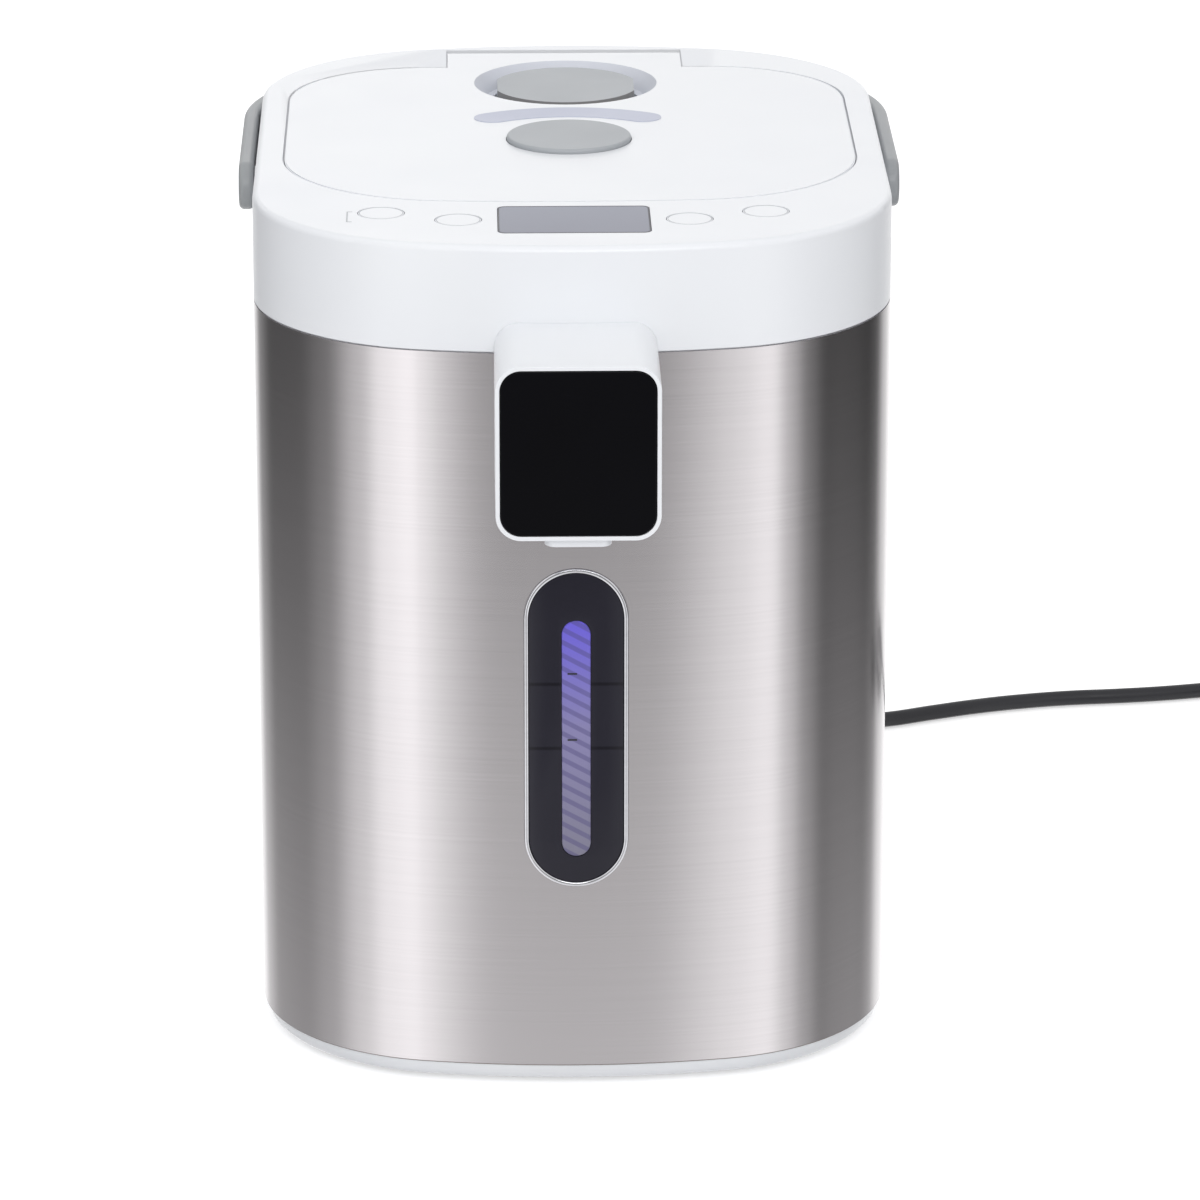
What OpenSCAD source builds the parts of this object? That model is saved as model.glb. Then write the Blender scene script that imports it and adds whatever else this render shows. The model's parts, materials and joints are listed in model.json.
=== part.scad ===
// Electric thermo pot: an oval steel body under a moulded collar, a hinged lid with a pull-up
// latch lever, a motor pump that feeds a square spout, a level window and a swinging bail.
// Millimetres, +Z up, the spout points to -Y. The origin is on the table, below the middle of
// the pot's overall length and width.

/* [Body] */
// Radius of the four upright corners
corner_r = 74.2; // [68:0.2:80]
// Height of the brushed steel wall
steel_h = 268; // [260:1:300]
// Thickness of the steel wall
steel_t = 1; // [0.8:0.1:1.5]
// Height of the visible base ring
base_h = 7.5; // [7.2:0.1:9]
// How far the rubber feet stand out
foot_h = 1.5; // [1:0.1:3]
// Radius of the rubber feet
foot_r = 9; // [6:0.5:12]

/* [Collar] */
// Height of the collar
collar_h = 39; // [37:0.5:48]
// Thickness of the collar's outer wall
collar_t = 2.6; // [2.2:0.1:3.2]
// Thickness of the collar's top deck
deck_t = 3; // [2.5:0.1:4]
// Rounding of the collar's top edge
edge_r = 3; // [2.7:0.1:3.4]
// Shadow gap between collar and steel
shadow_gap = 0.6; // [0.3:0.1:1]

/* [Lid] */
// Width of the collar's rim beside the lid
lid_margin = 10.5; // [10:0.5:15]
// Depth of the control deck in front of the lid
front_deck = 62; // [60:0.5:68]
// Depth of the collar behind the lid
rear_deck = 37; // [36:0.5:42]
// Radius of the lid's front corners
lid_front_r = 62.5; // [56:0.5:68]
// Radius of the lid's back corners
lid_back_r = 50; // [40:1:60]
// Gap round the lid
lid_gap = 0.7; // [0.6:0.05:1.2]
// Thickness of the lid's cover plate
lid_t = 3; // [2.5:0.1:4]
// Width of the hinge tongue
tongue_w = 90; // [80:1:96]
// Thickness of the hinge tongue
tongue_t = 10; // [9:0.5:12]
// Distance from the body's back to the hinge pin
hinge_inset = 15; // [14:0.5:16]
// Radius of the hinge pin
pin_r = 2; // [1.5:0.1:2.5]

/* [Lever and vent] */
// Distance from the lid's back edge to the lever's middle
lever_inset = 26.5; // [26:0.5:29]
// Radius of the lever's round outline
lever_r = 27.5; // [25:0.5:28]
// Half of the lever's width over its two flats
lever_hw = 26; // [22:0.5:26.5]
// How far the dish round the lever is set back from it
dish_shift = 2; // [1.5:0.1:2.5]
// Radius of the dish's rim
dish_r = 34.8; // [33:0.2:36]
// Depth of the pocket that the lever lies in
pocket_depth = 9.5; // [9:0.1:10]
// Distance from the lever's middle back to its pin
lever_pin_back = 18.5; // [18:0.5:19.5]
// Radius of the lever's pin
lever_pin_r = 1.5; // [1.2:0.1:1.8]
// Width of the plain band on the lid
band_w = 14; // [10:0.5:16]
// Distance from the lever's middle forward to the steam cap
cap_ahead = 84.5; // [80:0.5:88]
// Radius of the steam cap
cap_r = 23; // [20:0.1:25]
// How far the steam cap stands out
cap_rise = 1.7; // [0.8:0.1:2.5]

/* [Inner pot] */
// Outer radius of the inner pot, which sets the size of the lid and the body
pot_r = 89; // [80:0.5:98]
// Room between the pot and the lid's side edges
pot_side = 15.5; // [14:0.5:20]
// Room between the pot and the lid's front edge
pot_front = 17; // [15:0.5:22]
// Room between the pot and the lid's back edge
pot_back = 6; // [6:0.5:9]
// Wall of the inner pot
pot_t = 1; // [0.8:0.1:1.5]
// Height of the pot's floor above the table
pot_z = 45; // [44:0.5:60]

/* [Spout] */
// How far the spout stands out in front of the body
spout_reach = 55; // [45:1:60]
// Width of the spout
spout_w = 57.4; // [50:0.2:64]
// Height of the spout
spout_h = 62.6; // [54:0.2:66]
// Rounding of the spout's long edges
spout_r = 9; // [8:0.5:12]
// Wall of the spout shell
spout_t = 2.2; // [2:0.1:3]
// Distance from the collar's top to the spout's top
spout_top = 27.6; // [26:0.2:36]

/* [Level window] */
// Width of the window with its frame
window_w = 37.2; // [34:0.5:44]
// Height of the window with its frame
window_h = 120; // [110:1:140]
// Distance from the collar's top to the window's top
window_top = 118; // [114:0.5:124]
// Width of the window's frame
window_rim = 1.6; // [1.2:0.1:2.5]
// Width of the clear level strip
strip_w = 10.4; // [8.4:0.2:12]
// Outer radius of the gauge tube
tube_r = 5; // [4.5:0.1:5.5]
// Inner radius of the gauge tube and hoses
tube_bore_r = 3.8; // [3:0.1:4]

/* [Controls] */
// Width of the display lens
display_w = 54.2; // [46:0.2:58]
// Depth of the display lens
display_d = 36.8; // [30:0.2:37]
// Distance from the body's front to the display's middle
display_inset = 37; // [35:0.5:39]
// Radius of the round buttons
button_r = 8.2; // [7:0.1:9]
// Gap round a button
button_gap = 0.3; // [0.2:0.05:0.5]
// Distance from the middle to the outer buttons
outer_x = 68.4; // [66:0.5:72]
// Distance from the middle to the inner buttons
inner_x = 41; // [39:0.5:46]
// Distance from the body's front to the outer buttons
outer_inset = 47; // [44:0.5:48]
// Distance from the body's front to the inner buttons
inner_inset = 37.2; // [34:0.2:39]
// Travel of a button
button_travel = 0.8; // [0.4:0.1:1]

/* [Handle] */
// Gap between collar and handle
handle_gap = 1.5; // [1.4:0.1:3]
// Thickness of the handle
handle_t = 5.5; // [4.4:0.1:7]
// Height of the handle's bar
handle_h = 18; // [15:0.5:22]
// Rounding of the bar's edges
handle_edge = 2; // [1:0.1:2.2]
// Depth of the pivots below the collar's top
pivot_drop = 16.5; // [15:0.5:20]
// Radius of the handle's pivot pins
pivot_r = 4; // [3:0.1:5]

/* [Water pump] */
// Distance from the body's front to the pump's axis
pump_inset = 52; // [50:0.5:53]
// Radius of the pump housing
pump_r = 19; // [17:0.5:20]
// Height of the pump housing
pump_h = 17; // [15:0.5:20]
// Radius of the impeller
impeller_r = 13.5; // [10:0.5:14]
// Number of impeller vanes
vanes = 6; // [4:1:8]
// Radius of the pump motor
motor_r = 14; // [12:0.5:15]
// Length of the pump motor
motor_h = 30; // [24:1:34]

/* [Power] */
// Height of the power inlet's middle above the table
inlet_z = 42; // [38:1:60]
// Width of the power inlet
inlet_w = 34; // [30:1:40]
// Height of the power inlet
inlet_h = 24; // [20:1:28]
// Thickness of the mains cord
cord_d = 6.3; // [6:0.1:7]

/* [Fits] */
// Radial clearance of a pin in its hole
pin_fit = 0.05; // [0.02:0.01:0.1]
// Clearance between pieces that are assembled and do not move
seat_fit = 0.1; // [0.05:0.05:0.2]
// Clearance between pieces that move past each other
slide_fit = 0.3; // [0.3:0.05:0.5]

/* [Hidden] */
$fn = 64;

// Plan: the pot sets the lid, and the lid sets the body
lid_hw = pot_r + pot_side;
lid_length = 2 * pot_r + pot_front + pot_back;
body_w = 2 * (lid_hw + lid_margin);
body_d = front_deck + lid_length + rear_deck;
lid_front = body_d / 2 - front_deck;
lid_back = body_d / 2 - rear_deck;
pot_cy = lid_back - pot_back - pot_r;
hinge_y = body_d / 2 - hinge_inset;
lever_y = lid_back - lever_inset;
lever_pin_y = lever_y + lever_pin_back;
dish_y = lever_y + dish_shift;
cap_y = lever_y - cap_ahead;
display_y = body_d / 2 - display_inset;
outer_y = body_d / 2 - outer_inset;
inner_y = body_d / 2 - inner_inset;
pump_y = body_d / 2 - pump_inset;
screw_x = lid_hw - 16.5;
screw_y = pot_r - 34;
guide_x = lid_hw - 40.5;

// Heights
steel_z0 = foot_h + base_h;
steel_z1 = steel_z0 + steel_h;
top_z = steel_z1 + collar_h;
// Middle of the object's overall length, so that the origin is below it
body_y = (spout_reach - handle_gap - handle_t) / 2;

// Collar and lid levels
floor_t = 3;
floor_z = top_z - 29;
well_wall = 2;
skirt_t = 2.2;
skirt_z = top_z - 17;
inner_z = floor_z + 2.5;
hinge_z = top_z - tongue_t / 2;
tongue_gap = 0.5;
tongue_deep = tongue_t + 2.5;
cheek_t = 7.5;
pocket_t = 2.5;
cover_edge = 0.4;

// Inner pot
rim_t = 1;
rim_w = 5;
heater_r = pot_r - 43;
rim_z = floor_z + rim_t;
pot_corner = 10;
plug_r = pot_r - pot_t - 4;
plug_h = 8.5;
outlet_y = pot_cy - pot_r + 31;

// Base
heel_h = base_h - 1;
heel_w = 6;
plate_t = 2.6;
lip_h = 13;
lip_t = 2.4;
foot_x = 75;
foot_y = 105;
foot_sink = 0.6;
post_r = 5;
post_at = round(7.071 * (pot_r - 14)) / 10;
screw_r = 1.6;
screw_head_r = 3.4;

// Spout
face_y = -(body_d / 2 + spout_reach);
face_z = top_z - spout_top - spout_h / 2;
face_rim = 1.5;
face_t = 1.8;
nozzle_y = face_y + 9.4;
nozzle_w = 23.2;
nozzle_d = 11.6;
nozzle_drop = 3.4;
spout_floor = face_z - spout_h / 2;
bend_r = 10;
tube_y = -(body_d / 2 - steel_t - tube_r - 1.4);
tube_top = face_z - 1.5;
tube_run_z = tube_top + bend_r;
gauge_z0 = pot_z + 17;

// Lever and latch
lever_top = top_z - 0.4;
lever_t = 3.2;
lever_skirt = 2;
lever_max = 30;
pocket_r = lever_r + 0.8;
pocket_z = top_z - pocket_depth;
dish_z = top_z - 6.5;
dish_in = pocket_r + 2.4;
dish_wall = 2;
lever_pin_z = top_z - 6.5;
ear_r = 2.5;
post_x = 10;
ear_x = 14.2;
lug_hw = 3;
lug_r = 1.8;
crank = 7;
pull = crank * sin(lever_max);
slider_t = 3;
slider_z = top_z - tongue_deep - slide_fit - slider_t;
slider_hw = 24;
slider_y0 = lever_y - 16.5;
slider_y1 = lever_pin_y + lug_r + slide_fit + 3;
bolt_y = lever_y + 1.5;
bolt_w = 14;
bolt_t = 3.6;
bolt_z = slider_z - 0.4 - bolt_t;
bolt_x0 = 12;
bolt_pin_x = 16;
bolt_pin_r = 1.5;
spring_y0 = lever_y - 28.9;
cup_t = 2.2;
cup_depth = 12;
band_r = 53;
band_y = cap_y - 13.5;
band_end = [28, 45];
band_t = 0.25;

// Controls
button_t = 1.8;
post_button_r = 2.2;
board_z = top_z - 16;
board_t = 1.6;
switch_h = 4;
lens_t = 1.5;
button_places = [
    [-outer_x, -outer_y], [-inner_x, -inner_y], [inner_x, -inner_y], [outer_x, -outer_y]
];

// Handle
hub_cap = 1.4;

// Pump
pump_z = 17;
pump_wall = 3;
cradle_w = 2 * pump_r + 52;
cradle_d = pump_r + 9;
shaft_r = 2;
outlet_z = pump_z + pump_h / 2;

// Power board
power_w = 90;
power_d = 24;
power_inset = 22;

// Mains cord: round numbers on the table, from the strain relief to the coil
relief_len = 26;
connector_len = 24;
exit_y = body_d / 2 + body_y + connector_len + relief_len;
cord_r = cord_d / 2;
cord_route = [
    [0, exit_y, inlet_z], [1, exit_y + 8, inlet_z - 2], [5, exit_y + 18, inlet_z - 9],
    [14, exit_y + 27, 21], [28, 257, 11], [46, 260, 5], [68, 261, 3.4], [92, 263, 3.3],
    [114, 266, 3.3], [136, 270, 3.3], [155, 278, 3.3], [175, 286, 3.3], [195, 292, 3.3],
    [215, 296, 3.3], [234, 298, 3.3], [254, 301, 3.3], [272, 305, 3.3], [290, 309, 3.3],
    [306, 311, 3.3], [314, 311, 3.3]
];
coil_r = 35;
coil_x = 330;
coil_y = 272.8;
tail_x = coil_x + coil_r + cord_r;
tail_y = coil_y - 40;
tail_route = [
    [tail_x, coil_y - 8, 3.3], [tail_x, coil_y - 18, 3.3], [tail_x - 1, coil_y - 29, 3.3],
    [tail_x - 2, tail_y, 3.3]
];

// ---------------------------------------------------------------- outlines

// Half outline [half width, distance to the front edge, corner radius, bow number]
// The corner meets the bow on a ray whose sides are 2k and k * k - 1, so both arcs end on one point;
// a bow number of 0 is a straight edge
function bow_scale(h) = h[3] == 0 ? 0 : round(50 * (h[0] - h[2]) / h[3]) / 100;
function corner_x(h) = h[3] == 0 ? h[0] - h[2] : 2 * h[3] * bow_scale(h);
function round_r(h) = h[0] - corner_x(h);
function bow_r(h) = bow_scale(h) * (h[3] * h[3] + 1) + round_r(h);
function bow_dy(h) = bow_scale(h) * (h[3] * h[3] - 1);
function bow_cy(h) = bow_r(h) - h[1];
function corner_cy(h) = h[3] == 0 ? round_r(h) - h[1] : bow_cy(h) - bow_dy(h);
function grown(h, g) = [h[0] + g, h[1] + g, h[2] + g, h[3]];

// Far end of the ray through the corner's centre
function ray_share(h) = h[3] > 20 ? 0.2 : 0.5;
function ray_x(h) = corner_x(h) * (h[3] == 0 ? 1 : 1 + ray_share(h));
function ray_y(h) = corner_cy(h) - (h[3] == 0 ? 2 * round_r(h) : ray_share(h) * bow_dy(h));

body_half = [body_w / 2, body_d / 2, corner_r, 10];
lid_fore = [lid_hw, lid_front, lid_front_r, 30];
lid_aft = [lid_hw, lid_back, lid_back_r, 0];

module sector(r, a1, a2) {
    far = 1.6 * r;
    mid = (a1 + a2) / 2;
    intersection() {
        circle(r);
        polygon([[0, 0], far * [cos(a1), sin(a1)], far * [cos(mid), sin(mid)],
                 far * [cos(a2), sin(a2)]]);
    }
}

// Regions that hold the bow and one corner of a half outline
module bow_region(h) polygon([
    [-corner_x(h), corner_cy(h)], [-ray_x(h), ray_y(h)], [ray_x(h), ray_y(h)],
    [corner_x(h), corner_cy(h)]
]);
module corner_region(h) polygon([
    [corner_x(h), corner_cy(h)], [ray_x(h), ray_y(h)], [corner_x(h) + 2 * round_r(h), ray_y(h)],
    [corner_x(h) + 2 * round_r(h), corner_cy(h)]
]);

module half_plan(h) {
    intersection() {
        if (h[3] > 0) translate([0, bow_cy(h)]) circle(bow_r(h));
        if (h[3] == 0) translate([-corner_x(h), -h[1]]) square([2 * corner_x(h), round_r(h) + 1]);
        bow_region(h);
    }
    for (s = [0, 1]) mirror([s, 0]) intersection() {
        translate([corner_x(h), corner_cy(h)]) circle(round_r(h));
        corner_region(h);
    }
}

module plan(fore, aft, g = 0) {
    f = grown(fore, g);
    a = grown(aft, g);
    half_plan(f);
    mirror([0, 1]) half_plan(a);
    translate([-f[0], corner_cy(f)]) square([2 * f[0], -corner_cy(a) - corner_cy(f)]);
}

module body_plan(g = 0) plan(body_half, body_half, g);
module lid_plan(g = 0) plan(lid_fore, lid_aft, g);

// Sweeps a profile (x outwards from the outline, y upwards) round the front half
module half_sweep(h) {
    intersection() {
        translate([0, bow_cy(h), 0]) rotate_extrude($fn = 192) translate([bow_r(h), 0]) children();
        linear_extrude(2 * top_z) bow_region(h);
    }
    for (s = [0, 1]) mirror([s, 0, 0]) intersection() {
        translate([corner_x(h), corner_cy(h), 0]) rotate_extrude($fn = 96)
            translate([round_r(h), 0]) children();
        linear_extrude(2 * top_z) corner_region(h);
    }
}

module sweep_round(fore, aft) {
    half_sweep(fore) children();
    mirror([0, 1, 0]) half_sweep(aft) children();
    for (s = [0, 1]) mirror([s, 0, 0]) translate([fore[0], -corner_cy(aft), 0]) rotate([90, 0, 0])
        linear_extrude(-corner_cy(fore) - corner_cy(aft)) children();
}

// Profile that takes a rounding of radius r off an outline's top edge
module edge_cut(r) translate([-r, -r]) difference() {
    square(r + 1);
    circle(r);
}

// Profile that tapers an edge in three steps
module heel_cut(h, w) polygon([[0.09 * w, 1.275 * h], [-0.18 * w, 0.45 * h], [-0.5 * w, 0.16 * h],
                               [-w, 0], [-w, -1], [w, -1], [w, 1.275 * h]]);

// Wall between two insets of an outline
module body_ring(g_out, g_in) difference() {
    body_plan(g_out);
    body_plan(g_in);
}
module lid_ring(g_out, g_in) difference() {
    lid_plan(g_out);
    lid_plan(g_in);
}

// Rounded rectangle about the origin
module soft_rect(w, h, r) {
    square([w, h - 2 * r], center = true);
    square([w - 2 * r, h], center = true);
    for (x = [-1, 1]) for (y = [-1, 1]) translate([x * (w / 2 - r), y * (h / 2 - r)]) circle(r);
}

module slot_shape(w, h) {
    square([w, h - w], center = true);
    for (s = [-1, 1]) translate([0, s * (h - w) / 2]) circle(w / 2);
}

module ring_shape(r_out, r_in) difference() {
    circle(r_out);
    circle(r_in);
}

// Puts a body-centred piece into the part's frame
module seat() translate([0, body_y, 0]) children();

// ---------------------------------------------------------------- housing

module base_housing() color("white") difference() {
    union() {
        translate([0, 0, foot_h]) linear_extrude(base_h - 0.5) body_plan(-steel_t);
        translate([0, 0, steel_z0 - 2]) linear_extrude(lip_h) body_ring(-steel_t - 0.2, -steel_t - 0.2 - lip_t);
    }
    sweep_round(grown(body_half, -steel_t), grown(body_half, -steel_t))
        translate([0, foot_h]) heel_cut(heel_h, heel_w);
    difference() {
        translate([0, 0, foot_h + plate_t]) linear_extrude(20) body_plan(-steel_t - 4.6);
        for (x = [-1, 1]) for (y = [-1, 1])
            translate([x * post_at, pot_cy + y * post_at, foot_h])
                cylinder(r = post_r + 1, h = plate_t + 5);
        translate([-cradle_w / 2, -pump_y - cradle_d / 2, foot_h]) difference() {
            cube([cradle_w, cradle_d, pump_z - foot_h - 6]);
            translate([2, 2, plate_t]) cube([cradle_w - 4, cradle_d - 4, pump_z]);
        }
    }
    for (x = [-1, 1]) for (y = [-1, 1]) {
        translate([x * foot_x, y * foot_y, foot_h - 1]) cylinder(r = foot_r + seat_fit, h = foot_sink + 1);
        translate([x * post_at, pot_cy + y * post_at, foot_h - 1]) {
            cylinder(r = screw_r + pin_fit, h = 20);
            cylinder(r = screw_head_r + seat_fit, h = 3.4);
        }
    }
    for (x = [-3.5 : 1 : 3.5]) for (y = [0, 1])
        translate([x * 9 - 1.5, -20 + y * 50, foot_h - 1]) cube([3, 34, plate_t + 2]);
}

module rubber_feet() color("dimgray")
    for (x = [-1, 1]) for (y = [-1, 1])
        translate([x * foot_x, y * foot_y, 0]) rotate_extrude() {
            square([foot_r - 1, foot_h + foot_sink]);
            translate([0, 1]) square([foot_r, foot_h + foot_sink - 1]);
            translate([foot_r - 1, 1]) sector(1, -90, 0);
        }

module base_screws() color("silver")
    for (x = [-1, 1]) for (y = [-1, 1])
        translate([x * post_at, pot_cy + y * post_at, 0]) difference() {
            union() {
                translate([0, 0, foot_h + 0.3]) cylinder(r = screw_head_r, h = 2.1);
                translate([0, 0, foot_h + 2]) cylinder(r = screw_r, h = 14);
            }
            for (a = [0, 90]) rotate(a)
                translate([-2, -0.4, foot_h]) cube([4, 0.8, 1.4]);
        }

module body_shell() color("silver") difference() {
    translate([0, 0, steel_z0]) linear_extrude(steel_h) body_ring(0, -steel_t);
    window_hole(seat_fit);
    translate([0, -body_d / 2, tube_run_z]) rotate([90, 0, 0])
        cylinder(r = tube_r + 3, h = 20, center = true);
    translate([0, body_d / 2, inlet_z]) rotate([90, 0, 0])
        linear_extrude(20, center = true) soft_rect(inlet_w + 2 * seat_fit, inlet_h + 2 * seat_fit, 4);
}

module collar() color("whitesmoke") difference() {
    union() {
        translate([0, 0, steel_z1 + shadow_gap]) linear_extrude(collar_h - shadow_gap) body_ring(0, -collar_t);
        translate([0, 0, steel_z1 - 9]) linear_extrude(14) body_ring(-steel_t - 0.2, -collar_t - 1);
        translate([0, 0, top_z - deck_t]) linear_extrude(deck_t) difference() {
            body_plan(-collar_t + 1);
            lid_plan(lid_gap + 1);
        }
        translate([0, 0, floor_z - floor_t]) linear_extrude(top_z - floor_z + floor_t)
            lid_ring(lid_gap + well_wall, lid_gap);
        translate([0, 0, floor_z - floor_t]) linear_extrude(floor_t) difference() {
            lid_plan(lid_gap + 1);
            translate([0, pot_cy]) circle(pot_r + 0.5);
        }
    translate([-tongue_w / 2 - cheek_t, lid_back + lid_gap + 0.5, top_z - tongue_deep - 3])
            cube([tongue_w + 2 * cheek_t, hinge_y + 8.5 - lid_back - lid_gap, tongue_deep + 1]);
        for (s = [0, 1]) mirror([s, 0, 0])
            translate([body_w / 2 - collar_t - 6, 0, top_z - pivot_drop]) rotate([0, 90, 0])
                cylinder(r = 7, h = collar_t + 5.6 + handle_gap);
        for (p = button_places) translate([p[0], p[1], top_z - deck_t - 3])
            cylinder(r = button_r + button_gap + 1.5, h = 4);
    }
    translate([0, pot_cy, floor_z - 1]) cylinder(r = pot_r + rim_w, h = 2);
    sweep_round(body_half, body_half) translate([0, top_z]) edge_cut(edge_r - 0.5);
    // hinge pocket
    translate([-tongue_w / 2 - tongue_gap, lid_back - 10, top_z - tongue_t - tongue_gap])
        cube([tongue_w + 2 * tongue_gap, hinge_y + tongue_t / 2 + 2 * slide_fit + 10 - lid_back, 30]);
    translate([-tongue_w / 2 - tongue_gap, lid_back - 10, top_z - tongue_deep - tongue_gap])
        cube([tongue_w + 2 * tongue_gap, 18 + tongue_gap, 30]);
    translate([0, hinge_y, hinge_z]) rotate([0, 90, 0])
        cylinder(r = pin_r + pin_fit, h = tongue_w + 2 * cheek_t - 3, center = true);
    // hole for the spout tube below the visible wall
    translate([0, -body_d / 2, tube_run_z]) rotate([90, 0, 0])
        cylinder(r = tube_r + 3, h = 20, center = true);
    // latch keepers
    for (s = [0, 1]) mirror([s, 0, 0]) translate([lid_hw - 24.5, bolt_y - bolt_w / 2 - 0.6, bolt_z - 0.6])
        cube([28, bolt_w + 1.2, bolt_t + 1.2]);
    // handle pivots
    for (s = [-1, 1]) translate([s * body_w / 2, 0, top_z - pivot_drop]) rotate([0, 90, 0])
        cylinder(r = pivot_r + pin_fit, h = 15, center = true);
    // display and buttons
    translate([0, -display_y, top_z - deck_t - 10]) linear_extrude(20)
        soft_rect(display_w - 4, display_d - 4, 2);
    translate([0, -display_y, top_z - lens_t]) linear_extrude(10)
        soft_rect(display_w + 2 * seat_fit, display_d + 2 * seat_fit, 3);
    for (p = button_places) translate([p[0], p[1], top_z - deck_t - 10])
        cylinder(r = button_r + button_gap, h = 20);
}

module inner_pot() color("lightgray") translate([0, pot_cy, 0]) {
    difference() {
        rotate_extrude() {
            difference() {
                union() {
                    translate([0, pot_z]) square([pot_r - pot_corner, pot_t]);
                    translate([pot_r - pot_corner, pot_z + pot_corner]) sector(pot_corner, -90, 0);
                }
                translate([pot_r - pot_corner, pot_z + pot_corner]) circle(pot_corner - pot_t);
            }
            translate([pot_r - pot_t, pot_z + pot_corner]) square([pot_t, rim_z - pot_z - pot_corner]);
            translate([pot_r - pot_t, floor_z]) square([rim_w + pot_t - 0.5, rim_t]);
        }
        translate([0, outlet_y - pot_cy, 0]) cylinder(r = tube_bore_r, h = pot_z + 5);
    }
    translate([0, outlet_y - pot_cy, pot_z - 8]) difference() {
        cylinder(r = tube_r, h = 8);
        translate([0, 0, -1]) cylinder(r = tube_bore_r, h = 10);
    }
}

module pot_rim_seal() color("gray") translate([0, pot_cy, floor_z - 1])
    linear_extrude(1) ring_shape(pot_r + rim_w - 1, pot_r + 1);

module pot_support() color("gray") translate([0, pot_cy, 0]) {
    translate([0, 0, pot_z - 2.3]) linear_extrude(2.3) difference() {
        ring_shape(pot_r - pot_corner - 1, pot_r - pot_corner - 8);
        translate([-9, -pot_r]) square([18, 40]);
    }
    for (x = [-1, 1]) for (y = [-1, 1]) translate([x * post_at, y * post_at, 0]) difference() {
        translate([0, 0, foot_h + plate_t + 5]) cylinder(r = post_r, h = pot_z - foot_h - plate_t - 5);
        cylinder(r = screw_r + pin_fit, h = foot_h + 17);
    }
}

module heater_plate() color("darkgray") translate([0, pot_cy, pot_z - 5]) {
    cylinder(r = heater_r, h = 5);
    for (x = [-1, 1]) translate([x * 30, 0, -6]) cylinder(r = 3, h = 7);
}

module thermostat() color("black") translate([0, pot_cy, 0]) {
    translate([0, 0, pot_z - 9]) cylinder(r = 8, h = 4);
    translate([0, 0, pot_z - 17]) cylinder(r = 10, h = 8);
    for (x = [-1, 1]) translate([x * 6 - 2.4, -0.4, pot_z - 24]) cube([4.8, 0.8, 7.5]);
}

module thermal_fuse() color("tan") translate([0, pot_cy + 20, pot_z - 8])
    rotate([0, 90, 0]) {
        cylinder(r = 3, h = 16, center = true);
        cylinder(r = 0.6, h = 30, center = true);
    }

// ---------------------------------------------------------------- water path

module pump_housing() color("dimgray") translate([0, -pump_y, 0]) difference() {
    union() {
        translate([0, 0, pump_z]) cylinder(r = pump_r, h = pump_h);
        translate([0, 0, outlet_z]) rotate([90, 0, 0]) cylinder(r = tube_bore_r - 0.1, h = pump_r + 9);
        translate([0, 0, outlet_z]) rotate([-90, 0, 0]) cylinder(r = tube_bore_r - 0.1, h = pump_r + 9);
        for (x = [-1, 1]) translate([x * (pump_r + 5) - 4, -4, foot_h + plate_t])
            cube([8, 8, pump_z + 6 - foot_h - plate_t]);
        for (x = [-1, 1]) translate([x * (pump_r + 3) - 6, -4, pump_z]) cube([12, 8, 6]);
    }
    translate([0, 0, pump_z + pump_wall]) cylinder(r = pump_r - pump_wall, h = pump_h - 2 * pump_wall);
    translate([0, 0, pump_z + pump_wall]) cylinder(r = shaft_r + pin_fit, h = pump_h);
    translate([0, 0, outlet_z]) rotate([90, 0, 0])
        cylinder(r = tube_bore_r - 1.2, h = 2 * pump_r + 40, center = true);
}

module pump_impeller() color("orange") translate([0, -pump_y, pump_z + pump_wall + slide_fit]) {
    cylinder(r = impeller_r, h = 1.5);
    cylinder(r = 5, h = 8);
    cylinder(r = shaft_r, h = pump_h + 8);
    for (i = [0 : vanes - 1]) rotate(i * 360 / vanes) translate([4, -0.6, 0])
        cube([impeller_r - 4.6, 1.2, 6.5]);
}

module pump_motor() color("silver") translate([0, -pump_y, pump_z + pump_h]) difference() {
    union() {
        cylinder(r = motor_r, h = motor_h);
        translate([0, 0, motor_h - 1]) cylinder(r = 5, h = 4);
        for (x = [-1, 1]) translate([x * 8 - 1.4, -0.4, motor_h - 1]) cube([2.8, 0.8, 7]);
    }
    translate([0, 0, -1]) cylinder(r = shaft_r + pin_fit, h = 14);
}

module tube_ring() ring_shape(tube_r, tube_bore_r);

module elbow(r = bend_r) rotate_extrude(angle = 90) translate([r, 0]) tube_ring();

module suction_hose() color("ivory") {
    y_end = -pump_y + pump_r + 1;
    drop_z = outlet_z + bend_r;
    translate([0, outlet_y, drop_z]) linear_extrude(pot_z - 8 - drop_z) tube_ring();
    translate([0, outlet_y - bend_r, drop_z]) rotate([90, 0, 90]) rotate([0, 0, -90]) elbow();
    translate([0, outlet_y - bend_r, outlet_z]) rotate([90, 0, 0])
        linear_extrude(outlet_y - bend_r - y_end) tube_ring();
}

module riser_hose() color("ivory") {
    y_start = -pump_y - pump_r - 1;
    translate([0, y_start, outlet_z]) rotate([90, 0, 0])
        linear_extrude(y_start - tube_y - bend_r) tube_ring();
    translate([0, tube_y + bend_r, outlet_z + bend_r]) rotate([90, 0, 90]) rotate([0, 0, 180]) elbow();
    translate([0, tube_y, outlet_z + bend_r]) linear_extrude(gauge_z0 - outlet_z - bend_r) tube_ring();
}

module gauge_tube() color("lightblue", 0.5)
    translate([0, tube_y, gauge_z0]) linear_extrude(tube_top - gauge_z0) tube_ring();

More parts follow.
